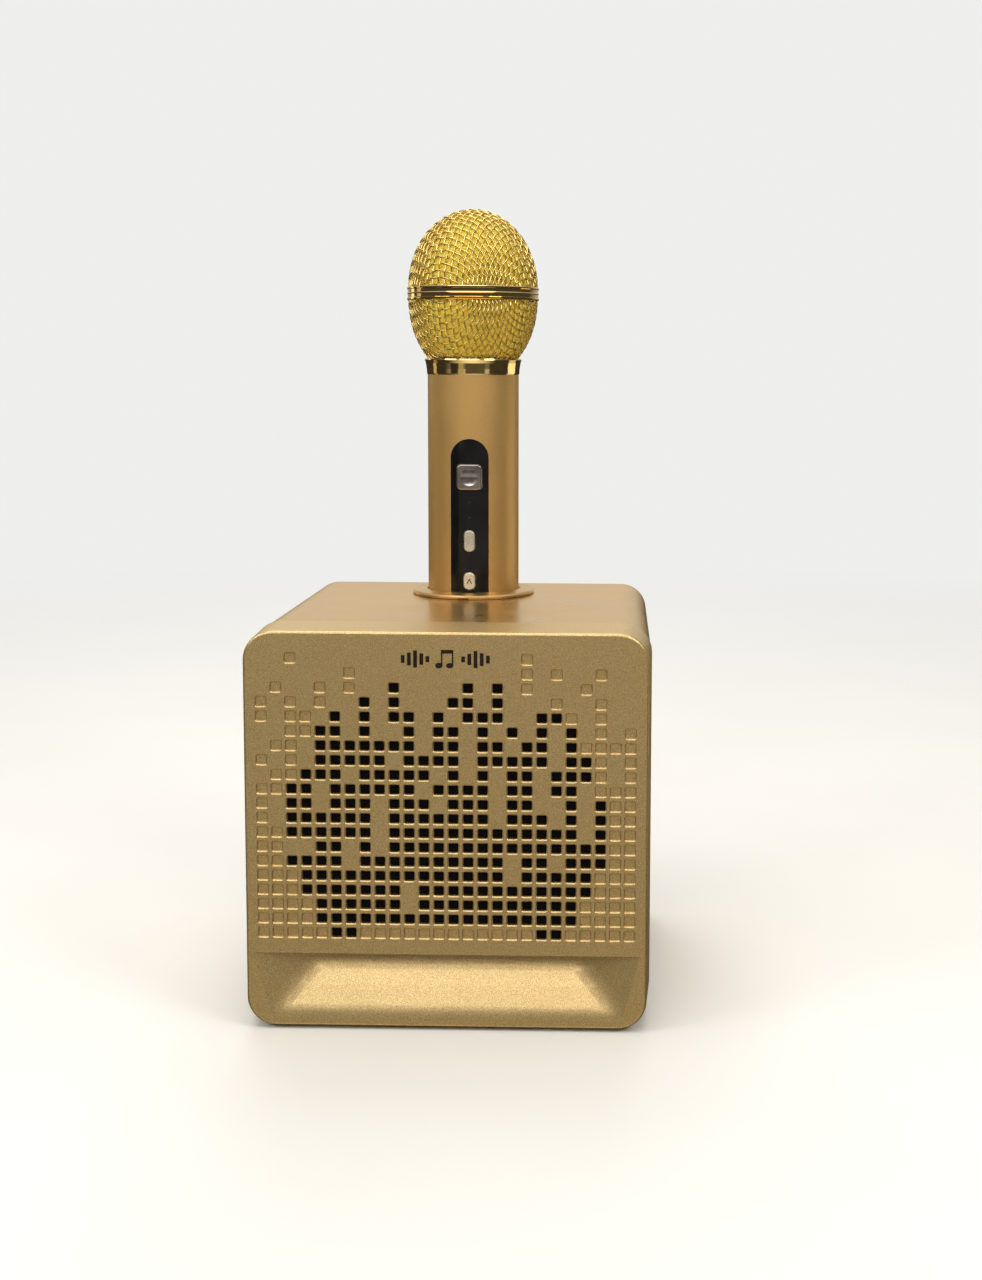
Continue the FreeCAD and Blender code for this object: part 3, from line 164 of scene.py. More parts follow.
class Shader(NodeTree):
    """A principled material with a few helpers to add procedural detail."""

    def __init__(self, name, color, metallic=0.0, roughness=0.5, **sockets):
        self.material = bpy.data.materials.new(name)
        self.material.use_nodes = True
        super().__init__(self.material.node_tree)
        self.shader = self.tree.nodes["Principled BSDF"]
        self.set("Base Color", (*color, 1.0))
        self.set("Metallic", metallic)
        self.set("Roughness", roughness)
        for socket, value in sockets.items():
            self.set(socket.replace("_", " "), value)
        self.place = self.tree.nodes.new("ShaderNodeTexCoord").outputs["Object"]

    def set(self, socket, value):
        self.shader.inputs[socket].default_value = value

    def stretched(self, factors):
        """Object coordinates scaled unevenly, for brushed or spun grain."""
        mapping = self.node("ShaderNodeMapping")
        mapping.inputs["Scale"].default_value = factors
        self.link(self.place, mapping.inputs["Vector"])
        return mapping.outputs["Vector"]

    def noise(self, scale, detail=2.0, rough=0.5, place=None):
        item = self.node("ShaderNodeTexNoise", Scale=scale, Detail=detail, Roughness=rough)
        self.link(place or self.place, item.inputs["Vector"])
        return item.outputs["Fac"]

    def cells(self, scale, feature="F1", output="Distance"):
        item = self.node("ShaderNodeTexVoronoi", Scale=scale)
        item.feature = feature
        self.link(self.place, item.inputs["Vector"])
        return item.outputs[output]

    def color(self, value):
        self.link(value, self.shader.inputs["Base Color"])
        return self

    def rough(self, value):
        self.link(value, self.shader.inputs["Roughness"])
        return self

    def bump(self, height, distance, strength=1.0):
        """Raise the surface by a height map, on top of any bump before it."""
        item = self.node("ShaderNodeBump", Distance=distance, Strength=strength)
        self.link(height, item.inputs["Height"])
        previous = self.shader.inputs["Normal"]
        if previous.is_linked:
            self.link(previous.links[0].from_socket, item.inputs["Normal"])
        self.link(item.outputs["Normal"], previous)
        return self

    def edge_wear(self, base, worn, radius, amount):
        """Lighten what lies along the edges, broken up by noise."""
        bevel = self.node("ShaderNodeBevel", samples=4, Radius=radius)
        plain = self.node("ShaderNodeNewGeometry")
        facing = self.node("ShaderNodeVectorMath", operation="DOT_PRODUCT")
        self.link(bevel.outputs["Normal"], facing.inputs[0])
        self.link(plain.outputs["Normal"], facing.inputs[1])
        edge = self.span(facing.outputs["Value"], 0.995, 0.90)
        broken = self.math("MULTIPLY", edge, self.span(self.noise(260, 3), 0.42, 0.62))
        return self.mix(self.math("MULTIPLY", broken, amount), base, worn)


def paint_grain():
    """Sand-grain metallic paint of the front cap."""
    paint = Shader("gold_grain", (0.66, 0.44, 0.16), 0.90, 0.40,
                   Coat_Weight=0.22, Coat_Roughness=0.34)
    grain = paint.noise(3400, 2, 0.6)
    drift = paint.noise(14, 2)
    base = paint.mix(paint.span(grain, 0.36, 0.64), (0.42, 0.28, 0.10), (0.86, 0.66, 0.34))
    base = paint.mix(paint.span(drift, 0.35, 0.65, 0.0, 0.12), base, (0.52, 0.34, 0.12))
    flake = paint.cells(2600, output="Color")
    spark = paint.span(paint.math("MULTIPLY", flake, flake), 0.70, 0.95)
    base = paint.mix(paint.math("MULTIPLY", spark, 0.35), base, (0.95, 0.80, 0.50))
    paint.color(paint.edge_wear(base, (0.84, 0.66, 0.38), 0.0009, 0.4))
    paint.rough(paint.span(grain, 0.3, 0.7, 0.46, 0.34))
    paint.bump(grain, 0.00008, 0.5)
    paint.bump(paint.noise(1100, 2), 0.00003, 0.2)
    return paint.material


def paint_satin(name, color, deep, roughness, metallic=0.92):
    """Smooth satin metallic paint: shell, handle and dock ring."""
    paint = Shader(name, color, metallic, roughness, Coat_Weight=0.25, Coat_Roughness=0.18)
    fine = paint.noise(2900, 2, 0.6)
    drift = paint.noise(11, 2)
    base = paint.mix(paint.span(fine, 0.35, 0.65), deep, color)
    base = paint.mix(paint.span(drift, 0.35, 0.65, 0.0, 0.12), base, deep)
    paint.color(paint.edge_wear(base, (0.84, 0.68, 0.42), 0.0008, 0.35))
    paint.rough(paint.span(paint.noise(36, 3), 0.3, 0.7, roughness - 0.04, roughness + 0.05))
    paint.bump(fine, 0.00001, 0.12)
    paint.bump(paint.noise(60, 1), 0.00005, 0.03)
    return paint.material


def polish():
    """Plated, polished band and collar."""
    metal = Shader("gold_polish", (0.86, 0.66, 0.33), 1.0, 0.06)
    scratch = metal.noise(900, 3, 0.6, metal.stretched((1.0, 1.0, 14.0)))
    metal.color(metal.mix(metal.span(metal.noise(120, 2), 0.3, 0.7),
                          (0.80, 0.60, 0.29), (0.90, 0.71, 0.38)))
    metal.rough(metal.span(scratch, 0.35, 0.75, 0.045, 0.13))
    metal.bump(scratch, 0.000012, 0.4)
    return metal.material


def wire_metal():
    """Plated steel wire of the woven head."""
    metal = Shader("gold_wire", (0.88, 0.66, 0.20), 1.0, 0.22)
    tone = metal.noise(420, 3)
    metal.color(metal.mix(metal.span(tone, 0.3, 0.7), (0.62, 0.46, 0.13), (0.92, 0.75, 0.32)))
    metal.rough(metal.span(metal.noise(1500, 2), 0.3, 0.7, 0.16, 0.28))
    metal.bump(metal.noise(2600, 2), 0.00001, 0.4)
    return metal.material


def foam_yellow():
    """Open-cell foam behind the wire."""
    foam = Shader("yellow_foam", (0.62, 0.44, 0.035), 0.0, 0.95, Sheen_Weight=0.25,
                  Sheen_Roughness=0.5, Subsurface_Weight=0.12, Subsurface_Scale=0.002)
    pores = foam.cells(1500)
    tone = foam.mix(foam.span(pores, 0.05, 0.55), (0.60, 0.43, 0.025), (0.96, 0.74, 0.08))
    foam.color(foam.mix(foam.span(foam.noise(160, 3), 0.3, 0.7, 0.0, 0.25), tone, (0.60, 0.42, 0.03)))
    foam.bump(pores, 0.0005, 0.8)
    foam.bump(foam.noise(700, 4, 0.7), 0.0003, 0.5)
    return foam.material


def gloss_black():
    """Glossy moulded strip with faint polishing marks."""
    plastic = Shader("black_gloss", (0.006, 0.006, 0.007), 0.0, 0.12, Coat_Weight=0.04,
                     Coat_Roughness=0.05, Specular_IOR_Level=0.30)
    haze = plastic.noise(380, 3, 0.6, plastic.stretched((1.0, 1.0, 0.25)))
    plastic.color(plastic.mix(plastic.span(plastic.noise(60, 2), 0.3, 0.7), (0.004, 0.004, 0.005),
                              (0.010, 0.010, 0.011)))
    plastic.rough(plastic.span(haze, 0.4, 0.8, 0.09, 0.18))
    plastic.bump(plastic.noise(70, 2), 0.00006, 0.15)
    return plastic.material


def moulded_plastic(name, low, high, roughness):
    """Spark-eroded texture of a moulded part."""
    plastic = Shader(name, high, 0.0, roughness)
    pits = plastic.noise(1900, 3, 0.65)
    base = plastic.mix(plastic.span(plastic.noise(30, 2), 0.3, 0.7), low, high)
    plastic.color(plastic.edge_wear(base, tuple(min(1, c * 2.2 + 0.02) for c in high), 0.0007, 0.45))
    plastic.rough(plastic.span(pits, 0.3, 0.7, roughness - 0.08, roughness + 0.08))
    plastic.bump(pits, 0.00006, 0.6)
    return plastic.material


def plated(name, low, high, roughness, metallic=1.0):
    """Plated metal or plated plastic with fine handling marks."""
    metal = Shader(name, high, metallic, roughness)
    marks = metal.noise(520, 4, 0.6, metal.stretched((1.0, 0.3, 1.0)))
    metal.color(metal.mix(metal.span(metal.noise(150, 2), 0.3, 0.7), low, high))
    metal.rough(metal.span(marks, 0.35, 0.75, roughness * 0.7, roughness * 1.5))
    metal.bump(marks, 0.00001, 0.4)
    return metal.material


def rubber_black():
    """Matt rubber of the feet."""
    rubber = Shader("foot_rubber", (0.018, 0.018, 0.019), 0.0, 0.72, Sheen_Weight=0.08)
    skin = rubber.noise(800, 3)
    rubber.color(rubber.mix(rubber.span(skin, 0.3, 0.7), (0.010, 0.010, 0.011), (0.028, 0.028, 0.030)))
    rubber.rough(rubber.span(rubber.noise(90, 2), 0.3, 0.7, 0.62, 0.82))
    rubber.bump(skin, 0.00008, 0.4)
    return rubber.material


def speaker_cloth():
    """Plain-woven acoustic cloth behind the squares."""
    cloth = Shader("black_cloth", (0.004, 0.004, 0.004), 0.0, 0.95, Sheen_Weight=0.02,
                   Sheen_Roughness=0.6, Specular_IOR_Level=0.12)
    across = cloth.node("ShaderNodeTexWave", Scale=560.0, Distortion=0.4, bands_direction="X")
    along = cloth.node("ShaderNodeTexWave", Scale=560.0, Distortion=0.4, bands_direction="Z")
    for threads in (across, along):
        cloth.link(cloth.place, threads.inputs["Vector"])
    weave = cloth.math("MULTIPLY", across.outputs["Fac"], along.outputs["Fac"])
    cloth.color(cloth.mix(cloth.span(weave, 0.1, 0.9), (0.001, 0.001, 0.001), (0.010, 0.010, 0.010)))
    cloth.bump(weave, 0.0002, 0.7)
    return cloth.material


def wound_wire(name, low, high):
    """Fine copper wire wound in turns."""
    wire = Shader(name, high, 0.9, 0.32)
    turns = wire.node("ShaderNodeTexWave", Scale=900.0, Distortion=0.2, bands_direction="Y")
    wire.link(wire.place, turns.inputs["Vector"])
    wire.color(wire.mix(turns.outputs["Fac"], low, high))
    wire.rough(wire.span(wire.noise(600, 2), 0.3, 0.7, 0.25, 0.42))
    wire.bump(turns.outputs["Fac"], 0.0001, 0.6)
    return wire.material


def circuit_board():
    """Green board with a mesh of tracks."""
    board = Shader("circuit_green", (0.02, 0.13, 0.05), 0.0, 0.35, Coat_Weight=0.4)
    tracks = board.cells(240, "DISTANCE_TO_EDGE")
    board.color(board.mix(board.span(tracks, 0.02, 0.05), (0.05, 0.25, 0.09), (0.012, 0.085, 0.035)))
    board.rough(board.span(board.noise(500, 2), 0.3, 0.7, 0.28, 0.48))
    board.bump(tracks, 0.0001, 0.3)
    return board.material


def fibreboard():
    """Brown board with fibres along it."""
    board = Shader("board_wood", (0.34, 0.24, 0.14), 0.0, 0.8)
    fibres = board.noise(700, 4, 0.7, board.stretched((1.0, 1.0, 0.2)))
    board.color(board.mix(board.span(fibres, 0.3, 0.7), (0.22, 0.15, 0.08), (0.44, 0.32, 0.20)))
    board.rough(board.span(fibres, 0.3, 0.7, 0.7, 0.9))
    board.bump(fibres, 0.0002, 0.5)
    return board.material


def lens_clear():
    """Clear window of the status light."""
    lens = Shader("clear_lens", (0.62, 0.66, 0.68), 0.0, 0.12,
                  Transmission_Weight=0.35, Coat_Weight=0.4)
    lens.color(lens.mix(lens.span(lens.noise(500, 2), 0.3, 0.7), (0.50, 0.55, 0.58), (0.72, 0.75, 0.77)))
    lens.rough(lens.span(lens.noise(900, 2), 0.3, 0.7, 0.08, 0.2))
    return lens.material


def black_print():
    """Dark ink of the printed marks."""
    ink = Shader("black_ink", (0.010, 0.005, 0.004), 0.0, 0.42, Specular_IOR_Level=0.25)
    speck = ink.noise(1400, 3)
    ink.color(ink.mix(ink.span(speck, 0.35, 0.7), (0.006, 0.003, 0.002), (0.020, 0.012, 0.008)))
    ink.rough(ink.span(speck, 0.3, 0.7, 0.34, 0.52))
    ink.bump(speck, 0.00003, 0.5)
    return ink.material


def white_print():
    """Pale ink of the rear tick marks."""
    ink = Shader("white_ink", (0.62, 0.61, 0.58), 0.0, 0.55)
    speck = ink.noise(1600, 3)
    ink.color(ink.mix(ink.span(speck, 0.35, 0.7), (0.48, 0.47, 0.45), (0.70, 0.69, 0.66)))
    ink.rough(ink.span(speck, 0.3, 0.7, 0.45, 0.65))
    ink.bump(speck, 0.00003, 0.4)
    return ink.material


def make_materials():
    """Every finish of the set, by its slot name."""
    satin = (0.70, 0.47, 0.19)
    return {
        "gold_grain": paint_grain(),
        "gold_satin": paint_satin("gold_satin", satin, (0.60, 0.39, 0.15), 0.30),
        "gold_handle": paint_satin("gold_handle", (0.66, 0.42, 0.155), (0.58, 0.36, 0.125), 0.50, 0.78),
        "gold_polish": polish(),
        "gold_wire": wire_metal(),
        "gold_knob": paint_satin("gold_knob", (0.70, 0.50, 0.24), (0.58, 0.40, 0.18), 0.22),
        "black_ink": black_print(),
        "white_ink": white_print(),
        "black_cloth": speaker_cloth(),
        "black_plastic": moulded_plastic("black_plastic", (0.012, 0.012, 0.013), (0.022, 0.022, 0.024), 0.48),
        "black_gloss": gloss_black(),
        "black_steel": plated("black_steel", (0.012, 0.012, 0.013), (0.024, 0.024, 0.026), 0.34, 0.3),
        "magnet_steel": plated("magnet_steel", (0.26, 0.26, 0.27), (0.40, 0.40, 0.41), 0.34),
        "screw_steel": plated("screw_steel", (0.36, 0.36, 0.37), (0.52, 0.52, 0.53), 0.30),
        "screw_black": plated("screw_black", (0.02, 0.02, 0.02), (0.05, 0.05, 0.05), 0.36, 0.6),
        "socket_steel": plated("socket_steel", (0.46, 0.46, 0.48), (0.68, 0.68, 0.70), 0.20),
        "contact_gold": plated("contact_gold", (0.66, 0.44, 0.14), (0.86, 0.62, 0.24), 0.22),
        "circuit_green": circuit_board(),
        "battery_wrap": moulded_plastic("battery_wrap", (0.02, 0.10, 0.26), (0.03, 0.15, 0.36), 0.32),
        "board_wood": fibreboard(),
        "foot_rubber": rubber_black(),
        "cone_paper": moulded_plastic("cone_paper", (0.012, 0.012, 0.012), (0.026, 0.026, 0.026), 0.85),
        "coil_copper": wound_wire("coil_copper", (0.40, 0.15, 0.05), (0.78, 0.38, 0.18)),
        "clear_lens": lens_clear(),
        "yellow_foam": foam_yellow(),
        "button_chrome": plated("button_chrome", (0.24, 0.22, 0.22), (0.40, 0.37, 0.37), 0.14, 0.9),
        "button_pearl": plated("button_pearl", (0.50, 0.48, 0.38), (0.66, 0.64, 0.54), 0.26, 0.45),
        "dot_black": moulded_plastic("dot_black", (0.001, 0.001, 0.001), (0.002, 0.002, 0.002), 0.6),
        "button_silver": plated("button_silver", (0.62, 0.55, 0.43), (0.80, 0.73, 0.60), 0.30, 0.35),
    }


MATERIALS = make_materials()


def dress_frame():
    """Give every CAD node the finish of its record slot."""
    for part in frame["record"]["subparts"]:
        piece = NODES[part["node"]]
        piece.data.materials.clear()
        piece.data.materials.append(MATERIALS[OWN_FINISH.get(part["node"], part["material_slot"])])


# ---------------------------------------------------------------- pieces
def add_piece(name, mesh, slot, body, replaces=()):
    """Link a mesh as a visual piece with its finish, body and the CAD nodes it stands for."""
    piece = bpy.data.objects.new(name, mesh)
    bpy.context.scene.collection.objects.link(piece)
    mesh.materials.append(MATERIALS[slot])
    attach(piece, body)
    if replaces:
        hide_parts(*replaces)
    return piece


def mesh_from(name, vertices, faces, smooth=True):
    """A mesh from its corners and faces."""
    mesh = bpy.data.meshes.new(name)
    mesh.from_pydata([tuple(v) for v in vertices], [], faces)
    mesh.update()
    if smooth:
        mesh.polygons.foreach_set("use_smooth", [True] * len(mesh.polygons))
    return mesh


class HalfHead:
    """Half ellipsoid of the head, its pole pointing up or down."""

    def __init__(self, radius, rise, base_z, sign):
        self.radius = radius
        self.rise = rise
        self.base = Vector((0, AXIS_Y, base_z))
        self.sign = sign

    def point(self, polar, azimuth):
        """A point by its angle from the pole and its azimuth."""
        across = self.radius * math.sin(polar)
        return Vector((across * math.cos(azimuth), across * math.sin(azimuth),
                       self.rise * math.cos(polar)))

    def level(self, p):
        """Zero on the surface, negative inside."""
        return (p.x * p.x + p.y * p.y) / self.radius ** 2 + p.z * p.z / self.rise ** 2 - 1

    def slope(self, p):
        """The outward direction at a point, not of unit length."""
        return Vector((2 * p.x / self.radius ** 2, 2 * p.y / self.radius ** 2, 2 * p.z / self.rise ** 2))

    def world(self, p):
        """A point of the half head in the frame's coordinates."""
        return self.base + Vector((p.x, p.y, self.sign * p.z))


def meridian(head, pitch, azimuth, count):
    """Points one pitch apart down a meridian, starting at the pole."""
    points = [head.point(0, azimuth)]
    polar = 0.0
    for _ in range(count):
        low, high = polar, polar + 0.5
        for _ in range(40):
            middle = (low + high) / 2
            if (head.point(middle, azimuth) - points[-1]).length < pitch:
                low = middle
            else:
                high = middle
        polar = high
        points.append(head.point(polar, azimuth))
    return points


def next_knot(head, first, second, corner, pitch):
    """The knot one pitch from two neighbours, on the surface, away from the corner."""
    point = first + second - corner
    for _ in range(12):
        rows = [point - first, point - second, head.slope(point) * 0.5]
        wrong = Vector(((rows[0].length_squared - pitch * pitch) / 2,
                        (rows[1].length_squared - pitch * pitch) / 2, head.level(point) / 2))
        system = Matrix(rows)
        if abs(system.determinant()) < 1e-14:
            return None
        point = point - system.inverted() @ wrong
    if abs(head.level(point)) > 1e-3 or abs((point - first).length - pitch) > pitch * 0.02:
        return None
    return point


def draped_net(head, pitch, spin, count):
    """A woven sheet drawn over the head: equal-sided cells that shear as it wraps."""
    net = {(0, 0): head.point(0, 0)}
    for way in range(4):
        azimuth = spin + way * math.pi / 2
        step = ((1, 0), (0, 1), (-1, 0), (0, -1))[way]
        for k, point in enumerate(meridian(head, pitch, azimuth, count)):
            net[(step[0] * k, step[1] * k)] = point
    for a, b in ((1, 1), (-1, 1), (-1, -1), (1, -1)):
        for i in range(1, count + 1):
            for j in range(1, count + 1):
                keys = ((a * (i - 1), b * j), (a * i, b * (j - 1)), (a * (i - 1), b * (j - 1)))
                if any(key not in net for key in keys):
                    continue
                knot = next_knot(head, *(net[key] for key in keys), pitch)
                if knot is not None:
                    net[(a * i, b * j)] = knot
    return net


def clipped(start, end, edge):
    """The place between two knots where the net's height meets its trimmed edge."""
    share = (edge - start.z) / (end.z - start.z)
    return start + (end - start) * share


def wires_of(net, head, count, low, high, crimp):
    """Centre lines of both directions, alternately over and under, trimmed to a height range."""
    lines = []
    for direction in (0, 1):
        for lane in range(-count, count + 1):
            line, last = [], None
            for step in range(-count, count + 1):
                knot = net.get((lane, step) if direction == 0 else (step, lane))
                inside = knot is not None and low <= knot.z <= high
                if knot is not None and last is not None and inside != (low <= last.z <= high):
                    edge = low if min(knot.z, last.z) < low else high
                    line.append(head.world(clipped(last, knot, edge)))
                if inside:
                    over = 1 if (lane + step) % 2 == direction else -1
                    line.append(head.world(knot + head.slope(knot).normalized() * crimp * over))
                elif len(line) > 1:
                    lines.append(line)
                    line = []
                last = knot
            if len(line) > 1:
                lines.append(line)
    return lines


def woven_half(name, head, low, high, replaces):
    """The wire mesh over one half of the head, between two heights above its base."""
    net = draped_net(head, MESH_PITCH, NET_SPIN, NET_COUNT)
    curve = bpy.data.curves.new(name + "_lines", "CURVE")
    curve.dimensions = "3D"
    curve.bevel_depth = WIRE_R
    curve.bevel_resolution = 1
    curve.resolution_u = 4
    curve.use_fill_caps = True
    for line in wires_of(net, head, NET_COUNT, low, high, CRIMP):
        spline = curve.splines.new("BEZIER")
        spline.bezier_points.add(len(line) - 1)
        for knot, point in zip(spline.bezier_points, line):
            knot.co = point
            knot.handle_left_type = knot.handle_right_type = "AUTO"
    carrier = bpy.data.objects.new(name + "_lines", curve)
    bpy.context.scene.collection.objects.link(carrier)
    bpy.context.view_layer.update()
    shaped = carrier.evaluated_get(bpy.context.evaluated_depsgraph_get())
    mesh = bpy.data.meshes.new_from_object(shaped)
    bpy.data.objects.remove(carrier)
    mesh.polygons.foreach_set("use_smooth", [True] * len(mesh.polygons))
    mesh.materials.clear()
    add_piece(name, mesh, "gold_wire", "microphone", replaces)


def woven_head():
    """Upper and lower wire mesh of the head, trimmed behind the band and at the collar."""
    upper = HalfHead(HEAD_R - WIRE_INSET, DOME_RISE - WIRE_INSET, BAND_HIGH.z, 1)
    lower = HalfHead(HEAD_R - WIRE_INSET, BASKET_DROP - WIRE_INSET, BAND_LOW.z, -1)
    woven_half("mic_wire_dome", upper, TUCK, NO_TRIM, ("mic_dome",))
    woven_half("mic_wire_basket", lower, TUCK, BAND_LOW.z - BASKET_FOOT + 0.25 * MM,
               ("mic_basket",))


def lathe(profile, sides):
    """A closed turned shape from (radius, z) pairs about the microphone axis."""
    vertices = []
    faces = []
    for radius, z in profile:
        for k in range(sides):
            angle = 2 * math.pi * k / sides
            vertices.append(Vector((radius * math.cos(angle), AXIS_Y + radius * math.sin(angle), z)))
    rows = len(profile)
    for i in range(rows - 1):
        low, high = i * sides, (i + 1) * sides
        for k in range(sides):
            n = (k + 1) % sides
            faces.append((low + k, low + n, high + n, high + k))
    faces.append(tuple(reversed(range(sides))))
    faces.append(tuple((rows - 1) * sides + k for k in range(sides)))
    return vertices, faces


def foam_liner():
    """Foam ball inside the mesh, slightly lumpy, with its pores in the material."""
    radius = HEAD_R - FOAM_INSET
    drop_axis = BASKET_DROP - FOAM_INSET
    foot_z = COLLAR_TOP + 0.4 * MM
    hem_z = BASKET_FOOT + 0.3 * MM
    hem_r = radius * math.sqrt(1 - ((BAND_LOW.z - hem_z) / drop_axis) ** 2)
    profile = [(FOAM_BORE, foot_z), (hem_r - 0.6 * MM, foot_z)]
    for k in range(BASKET_RINGS + 1):
        z = hem_z + (BAND_LOW.z - hem_z) * k / BASKET_RINGS
        drop = (BAND_LOW.z - z) / drop_axis
        profile.append((radius * math.sqrt(1 - drop * drop), z))
    for k in range(1, DOME_RINGS):
        polar = math.pi / 2 * (1 - k / DOME_RINGS)
        rise = (DOME_RISE - FOAM_INSET) * math.cos(polar)
        profile.append((radius * math.sin(polar), BAND_HIGH.z + rise))
    vertices, faces = lathe(profile, FOAM_SIDES)
    centre = Vector((0, AXIS_Y, BAND_LOW.z))
    for vertex in vertices:
        away = (vertex - centre).normalized()
        lump = noise.noise(vertex * 180) * 0.18 * MM + noise.noise(vertex * 700) * 0.12 * MM
        vertex -= away * (lump + 0.25 * MM)
    foam = add_piece("mic_foam_liner", mesh_from("mic_foam_liner", vertices, faces), "yellow_foam",
                     "microphone", ("mic_foam",))


def grille_sheet():
    """Acoustic cloth stretched flat behind the front's holes."""
    low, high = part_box("grille_cloth")
    wide, tall = high.x - low.x, high.z - low.z
    across, up = 60, 50
    vertices = []
    faces = []
    for j in range(up + 1):
        for i in range(across + 1):
            vertices.append(Vector((low.x + wide * i / across, low.y, low.z + tall * j / up)))
    row = across + 1
    for j in range(up):
        for i in range(across):
            start = j * row + i
            faces.append((start, start + 1, start + row + 1, start + row))
    cloth = add_piece("grille_sheet", mesh_from("grille_sheet", vertices, faces), "black_cloth",
                      "speaker", ("grille_cloth",))


def bar_between(start, end, half_wide, thick, outward):
    """Corners of a thin flat stroke lying on a surface that faces outward."""
    along = (end - start).normalized()
    side = along.cross(outward).normalized() * half_wide
    corners = [start + side, start - side, end - side, end + side]
    return corners + [corner + outward * thick for corner in corners]


def strokes(name, lines, ink, outward, slot, body):
    """Printed strokes as one mesh of flat bars with softened edges."""
    half_wide, thick = ink
    vertices = []
    faces = []
    for start, end in lines:
        base = len(vertices)
        vertices += bar_between(start, end, half_wide, thick, outward)
        for face in ((0, 3, 2, 1), (4, 5, 6, 7), (0, 1, 5, 4), (1, 2, 6, 5), (2, 3, 7, 6), (3, 0, 4, 7)):
            faces.append(tuple(base + k for k in face))
    piece = add_piece(name, mesh_from(name, vertices, faces, smooth=False), slot, body)
    soften = piece.modifiers.new("soften", "BEVEL")
    soften.width = thick * 0.3
    soften.segments = 2


def button_arrows():
    """The small arrow heads on the two capsule buttons."""
    forward = Vector((0, -1, 0))
    for node, way in (("mic_button_up", 1), ("mic_button_down", -1)):
        low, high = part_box(node)
        middle = Vector((0, low.y - 0.02 * MM, (low.z + high.z) / 2))
        tip = middle + Vector((0, 0, 1.0 * MM * way))
        feet = [middle + Vector((side * 1.05 * MM, 0, -1.1 * MM * way)) for side in (-1, 1)]
        strokes(node + "_arrow", [(tip, foot) for foot in feet], ARROW_INK, forward, "black_ink", node)


def rear_marks():
    """Tick marks round the knobs and simple signs on the rear push buttons."""
    back = Vector((0, 1, 0))
    _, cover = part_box("rear_cover")
    floor_y = cover.y - TRAY_DEEP + 0.01 * MM
    ticks = []
    for node in ("knob_mic", "knob_echo", "knob_music"):
        low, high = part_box(node)
        centre = Vector(((low.x + high.x) / 2, floor_y, (low.z + high.z) / 2))
        radius = (high.x - low.x) / 2
        for k in range(11):
            angle = math.radians(-60 + 30 * k)
            ray = Vector((math.cos(angle), 0, math.sin(angle)))
            ticks.append((centre + ray * (radius + 1.0 * MM), centre + ray * (radius + 2.0 * MM)))
    strokes("rear_ticks", ticks, TICK_INK, back, "white_ink", "speaker")
    for node, shape in BUTTON_SIGNS.items():
        low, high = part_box(node)
        centre = Vector(((low.x + high.x) / 2, high.y - 0.01 * MM, (low.z + high.z) / 2))
        lines = [(centre + Vector((a * MM, 0, b * MM)), centre + Vector((c * MM, 0, d * MM)))
                 for a, b, c, d in shape]
        strokes(node + "_sign", lines, SIGN_INK, back, "black_ink", node)


# ---------------------------------------------------------------- camera, floor and light
def make_camera():
    """Eye a little right of the middle and above the box, looking slightly down."""
    yaw, pitch, roll = math.radians(1.21), math.radians(6.18), math.radians(0.33)
    forward = Vector((-math.sin(yaw) * math.cos(pitch), math.cos(yaw) * math.cos(pitch),
                      -math.sin(pitch)))
    right = Vector((math.cos(yaw), math.sin(yaw), 0))
    up = right.cross(forward)
    right, up = (right * math.cos(roll) + up * math.sin(roll), up * math.cos(roll) - right * math.sin(roll))
    data = bpy.data.cameras.new("camera")
    data.lens = 51.87
    data.sensor_width = 36
    data.shift_x = -0.0852
    data.shift_y = -0.0691
    data.clip_start = 0.01
    camera = bpy.data.objects.new("camera", data)
    place = Vector((0.0776, FRONT_Y - 0.7326, 0.2785))
    turn = Matrix((right, up, -forward)).transposed().to_4x4()
    camera.matrix_world = Matrix.Translation(place) @ turn
    bpy.context.scene.collection.objects.link(camera)
    bpy.context.scene.camera = camera


def make_floor():
    """Pale floor that fades with distance into the pale surroundings."""
    half = 14.0
    floor = bpy.data.objects.new("floor", flat_square("floor", half, half))
    bpy.context.scene.collection.objects.link(floor)
    matt = Shader("floor_pale", (0.80, 0.80, 0.79), 0.0, 0.85)
    matt.color(matt.mix(matt.span(matt.noise(5, 2), 0.3, 0.7), (0.79, 0.79, 0.78), (0.82, 0.82, 0.81)))
    matt.rough(matt.span(matt.noise(60, 3), 0.3, 0.7, 0.8, 0.92))
    reach = matt.node("ShaderNodeVectorMath", operation="LENGTH")
    matt.link(matt.place, reach.inputs[0])
    far = matt.span(reach.outputs["Value"], 0.35, 1.6)
    glow = matt.node("ShaderNodeEmission", Color=(*PALE, 1.0), Strength=1.0)
    blend = matt.node("ShaderNodeMixShader")
    matt.link(far, blend.inputs[0])
    matt.link(matt.shader.outputs[0], blend.inputs[1])
    matt.link(glow.outputs[0], blend.inputs[2])
    matt.link(blend.outputs[0], matt.tree.nodes["Material Output"].inputs["Surface"])
    floor.data.materials.append(matt.material)
    floor.visible_glossy = False


def flat_square(name, half_w, half_t):
    """A flat rectangle about the origin, as a mesh with one face."""
    corners = [(-half_w, -half_t, 0), (half_w, -half_t, 0), (half_w, half_t, 0), (-half_w, half_t, 0)]
    return mesh_from(name, corners, [(0, 1, 2, 3)])


def area_light(name, place, target, size, power, color, size_y=None):
    """A square or rectangular lamp aimed at a point."""
    data = bpy.data.lights.new(name, "AREA")
    data.energy = power
    data.color = color
    data.size = size
    if size_y:
        data.shape = "RECTANGLE"
        data.size_y = size_y
    lamp = bpy.data.objects.new(name, data)
    lamp.location = place
    lamp.rotation_euler = (Vector(target) - Vector(place)).to_track_quat("-Z", "Y").to_euler()
    bpy.context.scene.collection.objects.link(lamp)
    return lamp


